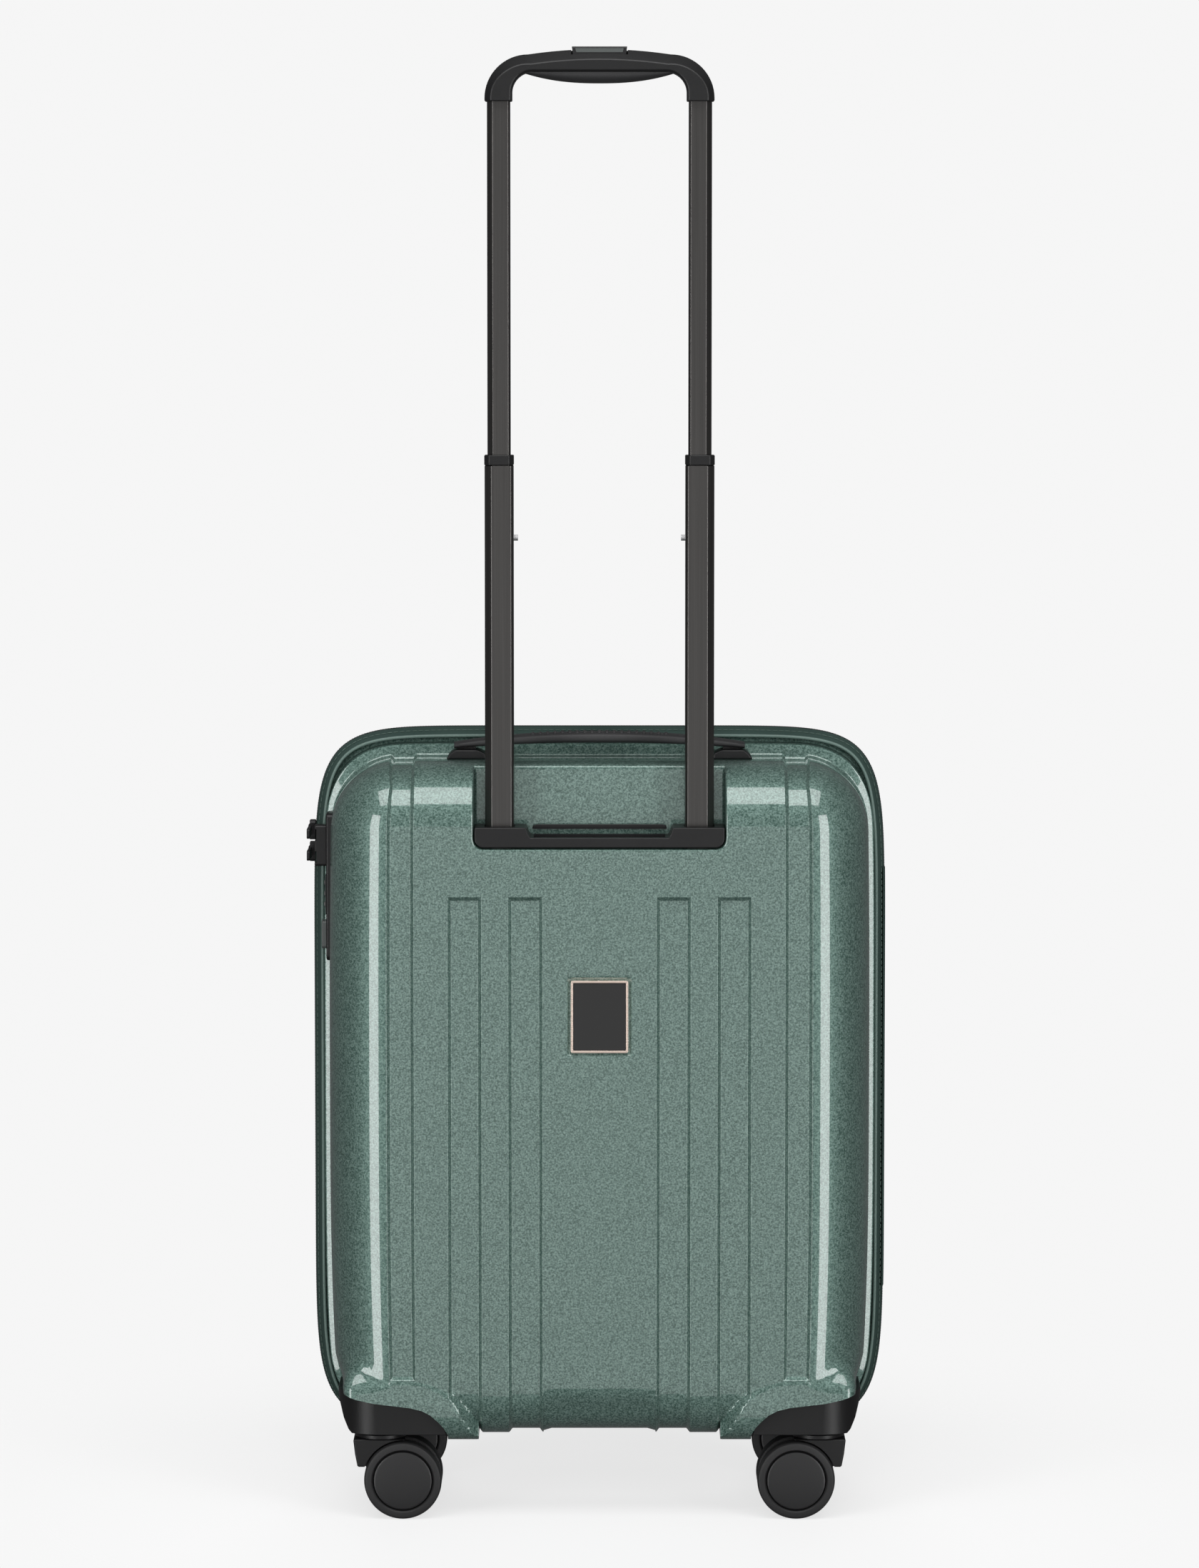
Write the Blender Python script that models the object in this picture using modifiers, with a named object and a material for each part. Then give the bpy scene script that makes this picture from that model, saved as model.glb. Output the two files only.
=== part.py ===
"""A cabin suitcase with a hard shell, on four twin-wheel casters, its trolley handle drawn out.

The case stands on the floor with +Z up. Its back, where the trolley handle is, faces -Y, the two
halves meet at the zip in the plane y = 0, and the lock is on the left side, at -X. All in metres.
"""

import math

import bmesh
import bpy
from mathutils import Matrix

GAP = 0.0003  # clearance kept between pieces that touch

# The case: the rim is where the two halves meet, and the body is the shell behind the rim's step.
RIM_HALF_WIDTH = 0.2021
RIM_BOTTOM = 0.048
RIM_TOP = 0.550
BODY_HALF_WIDTH = 0.1895
BODY_BOTTOM = 0.059
BODY_TOP = 0.530
HALF_DEPTH = 0.100
SQUARENESS = 8.7  # exponent of the rounded outline: 2 is an ellipse, higher is squarer
OUTLINE_POINTS = 32
WALL = 0.002
LIP_INSET = 0.0033
STEP_DEPTH = 0.014
STEP_SLOPE = 0.004
EDGE_RADIUS = 0.048
EDGE_STEPS = 4
TAPE_WIDTH = 0.012
TAPE_THICKNESS = 0.003
LINING_GAP = 0.0008
LINING_THICKNESS = 0.001
HUMP_HALF_WIDTH = 0.0935
HUMP_Y = -0.0635

# The trolley handle, in a recess of the back.
RECESS_HALF_WIDTH = 0.0873
RECESS_BOTTOM = 0.4724
RECESS_Y = -0.068
TUBE_X = 0.0694
TUBE_Y = -0.083
BASE_TOP = 0.487
CASING_BOTTOM = 0.104
CASING = (0.0245, 0.0215)
BORE = (0.0208, 0.0178)
LOWER_TUBE = (0.020, 0.017, 0.0012)
UPPER_TUBE = (0.016, 0.013, 0.0011)
LOWER_TUBE_Z = (0.432, 0.737)
UPPER_TUBE_Z = (0.694, 0.999)
COLLAR_HEIGHT = 0.007
STUD_Z = 0.687
STUD_RADIUS = 0.002
STUD_PROUD = 0.003
GRIP_HALF_WIDTH = 0.079
GRIP_FOOT = 0.987
GRIP_SHOULDER = 1.019
GRIP_CROWN = 0.0036
GRIP_UNDERSIDE = 1.007
GRIP_DEPTH = 0.025

# The casters: each swivels on an upright pin, and its axle trails towards the middle of the case.
CASTER_X = 0.1535
CASTER_Y = 0.075
TRAIL = 0.0158
WHEEL_RADIUS = 0.0272
WHEEL_SIDES = 24
WHEEL_WIDTH = 0.016
WEB_HALF = 0.005
AXLE_RADIUS = 0.0025
HOUSING_BOTTOM = 0.060
HOUSING_Y = 0.030
HOUSING_BACK = 0.0955
# Seen from the back, on the right: the shell's edge around a housing, the housing's outer side,
# and the crease where the shell starts to bulge out around it, each as (x, z) points.
WELL_EDGE = [(0.106, 0.0605), (0.113, 0.070), (0.124, 0.078), (0.141, 0.081), (0.158, 0.083), (0.181, 0.090)]
HOUSING_SIDE = [(0.1765, 0.066), (0.1745, 0.062), (0.170, HOUSING_BOTTOM)]
CREASE = [(0.087, 0.0605), (0.095, 0.0755), (0.102, 0.087), (0.112, 0.0935), (0.127, 0.0975), (0.160, 0.0955)]

# The carry handle on the top, the lock on the left side and the zip's two sliders.
CARRY_Y = -0.0325
CARRY_POST_X = 0.093
CARRY_CAP_X = (0.0795, 0.1055)
CARRY_CAP_TOP = 0.5365
CARRY_CAP_HALF_DEPTH = 0.0125
CARRY_HALF_LENGTH = 0.099
CARRY_HALF_DEPTH = 0.0105
CARRY_RISE = (0.0045, 0.0085)  # how much higher its underside and its top are at the middle
CARRY_TOP = 0.5405
POST_SLOT = (0.0072, 0.0026)
POST = (0.0065, 0.0020)
POST_STOP = (0.0090, 0.0030)
POST_STOP_Z = (0.5040, 0.5070)
LOCK_FACE_X = -0.192
LOCK_BACK_X = -0.172
LOCK_Y = -0.035
LOCK_Z = (0.388, 0.492)
DIAL_ZS = (0.4420, 0.4344, 0.4268)
DIAL_RADIUS = 0.009
DIAL_WIDTH = 0.005
DIAL_X = -0.1845
LOCK_BUTTON_X = (-0.1955, -0.186)
LOCK_BUTTON_Z = (0.396, 0.416)
LOCK_BUTTON_HALF = 0.007
LOCK_HALF_DEPTH = 0.0123
SLIDER_ZS = (0.4765, 0.4610)
SLIDER_X = -0.2025
BADGE_Z = 0.3552

for old in list(bpy.data.objects):
    bpy.data.objects.remove(old, do_unlink=True)

suitcase = bpy.data.collections.new("suitcase")
cutters = bpy.data.collections.new("cutters")
for collection in (suitcase, cutters):
    bpy.context.scene.collection.children.link(collection)
cutters.hide_render = True


def finish(name, color, roughness, metallic=0.0):
    made = bpy.data.materials.new(name)
    made.use_nodes = True
    shader = made.node_tree.nodes["Principled BSDF"]
    shader.inputs["Base Color"].default_value = (*color, 1)
    shader.inputs["Roughness"].default_value = roughness
    shader.inputs["Metallic"].default_value = metallic
    return made


GREEN = finish("green_polycarbonate", (0.10, 0.17, 0.15), 0.22)
BLACK = finish("black_plastic", (0.02, 0.02, 0.02), 0.45)
TUBING = finish("black_anodised_tube", (0.07, 0.068, 0.066), 0.35, 1.0)
RUBBER = finish("grey_black_tyre", (0.045, 0.045, 0.045), 0.6)
STEEL = finish("steel", (0.6, 0.6, 0.6), 0.3, 1.0)
CLOTH = finish("lining_cloth", (0.03, 0.03, 0.035), 0.9)
COPPER = finish("rose_metal", (0.72, 0.52, 0.44), 0.3, 1.0)
TAPE = finish("green_zip_tape", (0.03, 0.06, 0.05), 0.8)


def add(name, mesh, material, is_cutter=False):
    made = bpy.data.objects.new(name, mesh)
    if is_cutter:
        cutters.objects.link(made)
        made.hide_render = True
        made.display_type = "WIRE"
    else:
        suitcase.objects.link(made)
        mesh.materials.append(material)
    return made


def mesh_from(bm, name):
    bmesh.ops.recalc_face_normals(bm, faces=bm.faces)
    mesh = bpy.data.meshes.new(name)
    bm.to_mesh(mesh)
    bm.free()
    return mesh


def block(name, low, high, material=None):
    """A box between two corners; without a material it is a cutter."""
    bm = bmesh.new()
    bmesh.ops.create_cube(bm, size=1)
    size = [b - a for a, b in zip(low, high)]
    middle = [(a + b) / 2 for a, b in zip(low, high)]
    bm.transform(Matrix.Translation(middle) @ Matrix.Diagonal((*size, 1)))
    return add(name, mesh_from(bm, name), material, material is None)


def round_bar(name, centre, axis, radius, length, sides=20, material=None):
    bm = bmesh.new()
    bmesh.ops.create_cone(
        bm, cap_ends=True, segments=sides, radius1=radius, radius2=radius, depth=length
    )
    turn = {"X": Matrix.Rotation(math.pi / 2, 4, "Y"), "Y": Matrix.Rotation(math.pi / 2, 4, "X")}
    bm.transform(Matrix.Translation(centre) @ turn.get(axis, Matrix.Identity(4)))
    return add(name, mesh_from(bm, name), material, material is None)


def plate(name, outlines, low, high, normal, material=None):
    """A flat outline, with any holes in it as further outlines, extruded from low to high.

    The outline is in x and z when the normal is Y, and in x and y when it is Z.
    """
    curve = bpy.data.curves.new(name, "CURVE")
    curve.dimensions = "2D"
    curve.fill_mode = "BOTH"
    curve.extrude = (high - low) / 2
    for outline in outlines:
        spline = curve.splines.new("POLY")
        spline.points.add(len(outline) - 1)
        spline.use_cyclic_u = True
        for point, (u, v) in zip(spline.points, outline):
            point.co = (u, v, 0, 1)
    guide = bpy.data.objects.new(name, curve)
    suitcase.objects.link(guide)
    graph = bpy.context.evaluated_depsgraph_get()
    mesh = bpy.data.meshes.new_from_object(guide.evaluated_get(graph))
    bpy.data.objects.remove(guide, do_unlink=True)
    bpy.data.curves.remove(curve)
    bm = bmesh.new()
    bm.from_mesh(mesh)
    bpy.data.meshes.remove(mesh)
    bmesh.ops.remove_doubles(bm, verts=bm.verts, dist=1e-6)
    middle = (low + high) / 2
    if normal == "Y":
        bm.transform(Matrix.Translation((0, middle, 0)) @ Matrix.Rotation(math.pi / 2, 4, "X"))
    else:
        bm.transform(Matrix.Translation((0, 0, middle)))
    return add(name, mesh_from(bm, name), material, material is None)


def turned(name, profile, place, material, steps=20):
    """A turned piece: (radius, height) points down its outer side, spun with a Screw modifier."""
    bm = bmesh.new()
    points = [bm.verts.new((radius, 0, height)) for radius, height in profile]
    for a, b in zip(points, points[1:]):
        bm.edges.new((a, b))
    mesh = bpy.data.meshes.new(name)
    bm.to_mesh(mesh)
    bm.free()
    made = add(name, mesh, material)
    spin = made.modifiers.new("Spin", "SCREW")
    spin.steps = steps
    spin.render_steps = steps
    spin.use_merge_vertices = True
    spin.merge_threshold = 0.00001
    made.matrix_world = place
    return made


def combine(piece, other, operation="DIFFERENCE"):
    boolean = piece.modifiers.new(other.name, "BOOLEAN")
    boolean.operation = operation
    boolean.object = other
    return piece


def join(piece, *others):
    for other in others:
        combine(piece, other, "UNION")
    return piece


def rounded_outline(half_width, bottom, top):
    """The case's outline seen from the back, a superellipse, as (x, z) points."""
    middle = (bottom + top) / 2
    half_height = (top - bottom) / 2
    points = []
    for step in range(OUTLINE_POINTS):
        angle = 2 * math.pi * step / OUTLINE_POINTS
        across, up = round(math.cos(angle), 9), round(math.sin(angle), 9)
        x = math.copysign(abs(across) ** (2 / SQUARENESS), across)
        z = math.copysign(abs(up) ** (2 / SQUARENESS), up)
        points.append((half_width * x, middle + half_height * z))
    return points


def rim_outline(inset):
    return rounded_outline(RIM_HALF_WIDTH - inset, RIM_BOTTOM + inset, RIM_TOP - inset)


def body_outline(inset):
    return rounded_outline(BODY_HALF_WIDTH - inset, BODY_BOTTOM + inset, BODY_TOP - inset)


def shell_form(name, inset, front, side, material=None):
    """The closed form of one half of the case, from its open front to its rounded face.

    inset is how far it lies inside the outer surface, and side is -1 for the rear half.
    """
    step_y = STEP_DEPTH - inset
    rings = [(rim_outline(LIP_INSET + inset), front), (rim_outline(LIP_INSET + inset), step_y)]
    rings.append((body_outline(inset), step_y + STEP_SLOPE))
    for step in range(EDGE_STEPS + 1):
        angle = math.pi / 2 * step / EDGE_STEPS
        radius = EDGE_RADIUS - inset
        rings.append(
            (
                body_outline(inset + radius * (1 - math.cos(angle))),
                HALF_DEPTH - EDGE_RADIUS + radius * math.sin(angle),
            )
        )
    bm = bmesh.new()
    loops = [[bm.verts.new((x, side * y, z)) for x, z in ring] for ring, y in rings]
    for near, far in zip(loops, loops[1:]):
        for i in range(OUTLINE_POINTS):
            j = (i + 1) % OUTLINE_POINTS
            bm.faces.new((near[i], near[j], far[j], far[i]))
    bm.faces.new(loops[0])
    bm.faces.new(loops[-1])
    return add(name, mesh_from(bm, name), material, material is None)


def corner_plate(name, outline, near, far, side_x, side_y, material=None):
    """An outline of the right lower corner, extruded from near to far and put at any corner."""
    placed = [(side_x * x, z) for x, z in outline]
    low, high = sorted((side_y * near, side_y * far))
    return plate(name, [placed], low, high, "Y", material)


def well_cutter(name, side_x, side_y, shift):
    """The block cut out of one lower corner of the shell for a caster housing."""
    outline = [(WELL_EDGE[0][0], 0.04), *WELL_EDGE, (0.22, 0.100), (0.22, 0.04)]
    outline = [(x + shift, z - shift) for x, z in outline]
    return corner_plate(name, outline, HOUSING_Y + shift, 0.12, side_x, side_y)


def tube_outline(centre_x, size, chamfer=0.0025):
    """A rectangle with chamfered corners around one handle tube, in x and y."""
    w, d = size[0] / 2, size[1] / 2
    corners = [(w, d - chamfer), (w - chamfer, d), (chamfer - w, d), (-w, d - chamfer)]
    corners += [(-x, -y) for x, y in corners]
    return [(centre_x + x, TUBE_Y + y) for x, y in corners]


def tube(name, centre_x, size, bore, bottom, top, material):
    outlines = [tube_outline(centre_x, size), tube_outline(centre_x, bore)]
    return plate(name, outlines, bottom, top, "Z", material)


def arc(centre, radius, start, end, steps=5):
    angles = [math.radians(start + (end - start) * i / steps) for i in range(steps + 1)]
    return [(centre[0] + radius * math.cos(a), centre[1] + radius * math.sin(a)) for a in angles]


# ---- the two shells, with their zip tapes and linings -------------------------------------------

recess = block(
    "recess_cutter",
    (-RECESS_HALF_WIDTH, -0.12, RECESS_BOTTOM),
    (RECESS_HALF_WIDTH, RECESS_Y, 0.60),
)
recess_back = block(
    "recess_back_cutter",
    (-RECESS_HALF_WIDTH - WALL, -0.12, RECESS_BOTTOM - WALL),
    (RECESS_HALF_WIDTH + WALL, RECESS_Y + WALL, 0.60),
)
lock_hole = block(
    "lock_hole_cutter",
    (-0.22, LOCK_Y - LOCK_HALF_DEPTH - GAP, LOCK_Z[0] - GAP),
    (-0.16, LOCK_Y + LOCK_HALF_DEPTH + GAP, LOCK_Z[1] + GAP),
)
post_slots = [
    block(
        f"post_slot_cutter_{side:+d}",
        (side * CARRY_POST_X - POST_SLOT[0], CARRY_Y - POST_SLOT[1], 0.515),
        (side * CARRY_POST_X + POST_SLOT[0], CARRY_Y + POST_SLOT[1], 0.545),
    )
    for side in (-1, 1)
]
tube_holes = [
    plate(f"tube_hole_cutter_{side:+d}", [tube_outline(side * TUBE_X, BORE)], 0.46, 0.50, "Z")
    for side in (-1, 1)
]
# The studs on the lower tubes slide down a notch on the inner side of each casing.
stud_notches = [
    block(
        f"stud_notch_cutter_{side:+d}",
        (min(side * (TUBE_X - 0.014), side * TUBE_X), TUBE_Y - 0.0028, 0.438),
        (max(side * (TUBE_X - 0.014), side * TUBE_X), TUBE_Y + 0.0028, 0.50),
    )
    for side in (-1, 1)
]

for half, side_y in (("rear", -1), ("front", 1)):
    shell = shell_form(f"{half}_shell", 0, GAP, side_y, GREEN)
    hollow = shell_form(f"{half}_hollow_cutter", WALL, -0.003, side_y)
    lining = shell_form(f"{half}_lining", WALL + LINING_GAP, 0.006, side_y, CLOTH)
    inside = shell_form(
        f"{half}_inside_cutter", WALL + LINING_GAP + LINING_THICKNESS, -0.003, side_y
    )
    if half == "rear":
        combine(shell, recess)
        combine(hollow, recess_back)
        for target, half_width, y in (
            (lining, HUMP_HALF_WIDTH, HUMP_Y),
            (inside, HUMP_HALF_WIDTH + LINING_THICKNESS, HUMP_Y + LINING_THICKNESS),
        ):
            low, high = (-half_width, -0.13, 0), (half_width, y, 0.60)
            combine(target, block(f"{target.name}_hump_cutter", low, high))
    for side_x, hand in ((-1, "left"), (1, "right")):
        bulge = [*CREASE, (0.184, 0.0955), *HOUSING_SIDE]
        bulge_back = HOUSING_BACK - 0.0005
        bulge_name = f"{half}_{hand}_bulge"
        join(shell, corner_plate(bulge_name, bulge, HOUSING_Y - 0.001, bulge_back, side_x, side_y))
    combine(shell, hollow)
    combine(lining, inside)
    for side_x, hand in ((-1, "left"), (1, "right")):
        combine(shell, well_cutter(f"{half}_{hand}_well_cutter", side_x, side_y, 0))
        combine(lining, well_cutter(f"{half}_{hand}_well_clearance", side_x, side_y, -0.0006))
    if half == "rear":
        for target in (shell, lining):
            combine(target, lock_hole)
            for slot in post_slots:
                combine(target, slot)
        for hole in tube_holes + stud_notches:
            combine(shell, hole)
    ends = sorted((side_y * GAP, side_y * TAPE_WIDTH))
    rings = [rim_outline(0), rim_outline(TAPE_THICKNESS)]
    plate(f"{half}_zip_tape", rings, ends[0], ends[1], "Y", TAPE)

plate("divider_panel", [rim_outline(0.0068)], 0.0035, 0.0050, "Y", CLOTH)

# Two packing straps cross the rear half from corner to corner and meet at a buckle.
strap_half_length = 0.245
lean = math.atan2(BODY_TOP - BODY_BOTTOM - 0.05, 2 * BODY_HALF_WIDTH - 0.05)
straps = []
for name, turn, material in (("packing_straps", lean, CLOTH), ("second_strap", -lean, None)):
    strap = block(
        name, (-strap_half_length, -0.00075, -0.0125), (strap_half_length, 0.00075, 0.0125), material
    )
    middle = Matrix.Translation((0, -0.0058, (BODY_BOTTOM + BODY_TOP) / 2))
    strap.matrix_world = middle @ Matrix.Rotation(-turn, 4, "Y")
    straps.append(strap)
join(*straps)

# ---- the trolley handle -------------------------------------------------------------------------

base = block(
    "handle_base_housing",
    (-RECESS_HALF_WIDTH + GAP, -0.0975, RECESS_BOTTOM + GAP),
    (RECESS_HALF_WIDTH - GAP, RECESS_Y - GAP, BASE_TOP),
    BLACK,
)
for hole in tube_holes + stud_notches:
    combine(base, hole)
combine(base, block("finger_notch_cutter", (-0.0525, -0.11, 0.480), (0.0525, -0.0885, 0.50)))

bracket = block(
    "handle_foot_bracket",
    (-TUBE_X - 0.0155, TUBE_Y - 0.0105, CASING_BOTTOM - GAP - 0.003),
    (TUBE_X + 0.0155, TUBE_Y + 0.0105, CASING_BOTTOM - GAP),
    STEEL,
)

for index, (side, hand) in enumerate(((-1, "left"), (1, "right"))):
    x = side * TUBE_X
    casing_top = RECESS_BOTTOM - WALL - GAP
    casing = tube(f"tube_casing_{hand}", x, CASING, BORE, CASING_BOTTOM, casing_top, STEEL)
    combine(casing, stud_notches[index])

    width, depth, wall = LOWER_TUBE
    inner = (width - 2 * wall, depth - 2 * wall)
    lower = tube(f"lower_tube_{hand}", x, (width, depth), inner, *LOWER_TUBE_Z, TUBING)
    stud_x = x - side * (width / 2 + STUD_PROUD)
    stud_length = STUD_PROUD + wall + 0.0003
    stud_centre = (stud_x + side * stud_length / 2, TUBE_Y, STUD_Z)
    round_bar(f"stud_{hand}", stud_centre, "X", STUD_RADIUS, stud_length, 12, STEEL)
    stud_hole = round_bar(
        f"stud_hole_cutter_{hand}", (x - side * width / 2, TUBE_Y, STUD_Z), "X", STUD_RADIUS + GAP, 0.004, 12
    )
    combine(lower, stud_hole)

    width, depth, wall = UPPER_TUBE
    inner = (width - 2 * wall, depth - 2 * wall)
    tube(f"upper_tube_{hand}", x, (width, depth), inner, *UPPER_TUBE_Z, TUBING)
    collar_bottom = LOWER_TUBE_Z[1] + GAP
    tube(
        f"tube_collar_{hand}",
        x,
        (0.0204, 0.0174),
        (width + 2 * GAP, depth + 2 * GAP),
        collar_bottom,
        collar_bottom + COLLAR_HEIGHT,
        BLACK,
    )

crown = [
    (0.049 * t, GRIP_SHOULDER + GRIP_CROWN * (1 - t * t)) for t in (0.75, 0.4, 0, -0.4, -0.75)
]
grip_outline = [(GRIP_HALF_WIDTH, GRIP_FOOT)]
grip_outline += arc((0.049, GRIP_SHOULDER - 0.030), 0.030, 0, 90)
grip_outline += crown
grip_outline += arc((-0.049, GRIP_SHOULDER - 0.030), 0.030, 90, 180)
grip_outline += [(-GRIP_HALF_WIDTH, GRIP_FOOT), (-0.060, GRIP_FOOT)]
grip_outline += arc((-0.046, GRIP_UNDERSIDE - 0.014), 0.014, 180, 90, 4)
grip_outline += arc((0.046, GRIP_UNDERSIDE - 0.014), 0.014, 90, 0, 4)
grip_outline += [(0.060, GRIP_FOOT)]
grip_near, grip_far = TUBE_Y - GRIP_DEPTH / 2, TUBE_Y + GRIP_DEPTH / 2
grip = plate("trolley_grip", [grip_outline], grip_near, grip_far, "Y", BLACK)
for side in (-1, 1):
    socket = (UPPER_TUBE[0] + 2 * GAP, UPPER_TUBE[1] + 2 * GAP)
    outline = tube_outline(side * TUBE_X, socket)
    combine(grip, plate(f"socket_cutter_{side:+d}", [outline], 0.98, UPPER_TUBE_Z[1] + GAP, "Z"))
combine(
    grip,
    block("button_pocket_cutter", (-0.0188, TUBE_Y - 0.0083, 1.0112), (0.0188, TUBE_Y + 0.0083, 1.05)),
)
block("grip_button", (-0.0185, TUBE_Y - 0.008, 1.0155), (0.0185, TUBE_Y + 0.008, 1.0245), BLACK)

pad_top = GRIP_UNDERSIDE - GAP
pad_outline = [(0.0455 * t, pad_top - 0.0076 * (1 - t * t)) for t in (-1, -0.7, -0.35, 0, 0.35, 0.7, 1)]
plate("grip_pad", [pad_outline], TUBE_Y - 0.009, TUBE_Y + 0.009, "Y", BLACK)

# ---- the carry handle on the top ----------------------------------------------------------------

arch = (-1, -0.75, -0.45, 0, 0.45, 0.75, 1)
low_edge = [(t, CARRY_CAP_TOP + GAP + CARRY_RISE[0] * (1 - t**2)) for t in arch]
high_edge = [(t, CARRY_TOP + CARRY_RISE[1] * (1 - t**2)) for t in reversed(arch)]
carry_outline = [(CARRY_HALF_LENGTH * t, z) for t, z in low_edge + high_edge]
carry_ends = (CARRY_Y - CARRY_HALF_DEPTH, CARRY_Y + CARRY_HALF_DEPTH)
carry = plate("carry_handle", [carry_outline], *carry_ends, "Y", BLACK)
for slot, (side, hand) in zip(post_slots, ((-1, "left"), (1, "right"))):
    low_x, high_x = sorted(side * x for x in CARRY_CAP_X)
    cap = block(
        f"carry_cap_{hand}",
        (low_x, CARRY_Y - CARRY_CAP_HALF_DEPTH, BODY_TOP + GAP),
        (high_x, CARRY_Y + CARRY_CAP_HALF_DEPTH, CARRY_CAP_TOP),
        BLACK,
    )
    combine(cap, slot)
    post = block(
        f"post_{hand}",
        (side * CARRY_POST_X - POST[0], CARRY_Y - POST[1], POST_STOP_Z[1] - 0.001),
        (side * CARRY_POST_X + POST[0], CARRY_Y + POST[1], 0.539),
    )
    stop = block(
        f"post_stop_{hand}",
        (side * CARRY_POST_X - POST_STOP[0], CARRY_Y - POST_STOP[1], POST_STOP_Z[0]),
        (side * CARRY_POST_X + POST_STOP[0], CARRY_Y + POST_STOP[1], POST_STOP_Z[1]),
    )
    join(carry, post, stop)

# ---- the lock, the zip's sliders and the badge --------------------------------------------------

lock = block(
    "lock_body",
    (LOCK_FACE_X, LOCK_Y - LOCK_HALF_DEPTH, LOCK_Z[0]),
    (LOCK_BACK_X, LOCK_Y + LOCK_HALF_DEPTH, LOCK_Z[1]),
    BLACK,
)
for number, z in enumerate(DIAL_ZS, 1):
    half_gap = DIAL_WIDTH / 2 + GAP
    reach = DIAL_RADIUS + 2 * GAP
    for kind, low_x, high_x, half_y in (
        ("pocket", -0.1905, -0.16, reach),
        ("window", -0.21, -0.190, 0.0072),
    ):
        low = (low_x, LOCK_Y - half_y, z - half_gap)
        high = (high_x, LOCK_Y + half_y, z + half_gap)
        combine(lock, block(f"dial_{kind}_cutter_{number}", low, high))
    profile = [(0, 0.0025), (DIAL_RADIUS, 0.0025), (DIAL_RADIUS, -0.0025), (0, -0.0025)]
    turned(f"lock_dial_{number}", profile, Matrix.Translation((DIAL_X, LOCK_Y, z)), BLACK)
button_low = (LOCK_BUTTON_X[0], LOCK_Y - LOCK_BUTTON_HALF, LOCK_BUTTON_Z[0])
button_high = (LOCK_BUTTON_X[1], LOCK_Y + LOCK_BUTTON_HALF, LOCK_BUTTON_Z[1])
block("lock_button", button_low, button_high, BLACK)
pocket_low = (-0.21, button_low[1] - GAP, LOCK_BUTTON_Z[0] - GAP)
pocket_high = (-0.1830, button_high[1] + GAP, LOCK_BUTTON_Z[1] + GAP)
combine(lock, block("lock_button_pocket_cutter", pocket_low, pocket_high))

for hand, z in zip(("upper", "lower"), SLIDER_ZS):
    slider_low, slider_high = (SLIDER_X - 0.0037, -0.0055, z - 0.007), (SLIDER_X, 0.0055, z + 0.007)
    block(f"zip_slider_{hand}", slider_low, slider_high, STEEL)
    pull = block(f"zip_pull_{hand}", (-0.0011, -0.0285, -0.0035), (0.0011, 0.0011, 0.0035), STEEL)
    pull.location = (SLIDER_X - 0.0024, -0.0075, z)  # its hinge

badge = {"outer": (0.0200, 0.0253), "inner": (0.0176, 0.0229), "face": (0.0173, 0.0226)}
badge = {
    part: [(x, BADGE_Z + z) for x, z in ((w, h), (-w, h), (-w, -h), (w, -h))]
    for part, (w, h) in badge.items()
}
plate("badge_frame", [badge["outer"], badge["inner"]], -0.1012, -HALF_DEPTH - GAP, "Y", COPPER)
plate("badge_face", [badge["face"]], -0.1008, -HALF_DEPTH - GAP, "Y", BLACK)

# ---- the casters --------------------------------------------------------------------------------

top_z = HOUSING_BOTTOM - GAP
corner_radius = WHEEL_RADIUS / math.cos(math.pi / WHEEL_SIDES)  # so that its flats are at the radius
wheel_profile = [
    (0, WHEEL_WIDTH),
    (corner_radius - 0.002, WHEEL_WIDTH),
    (corner_radius, WHEEL_WIDTH - 0.002),
    (corner_radius, 0.002),
    (corner_radius - 0.002, 0),
    (AXLE_RADIUS + GAP, 0),
    (AXLE_RADIUS + GAP, 0.0125),
    (0, 0.0125),
]

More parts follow.
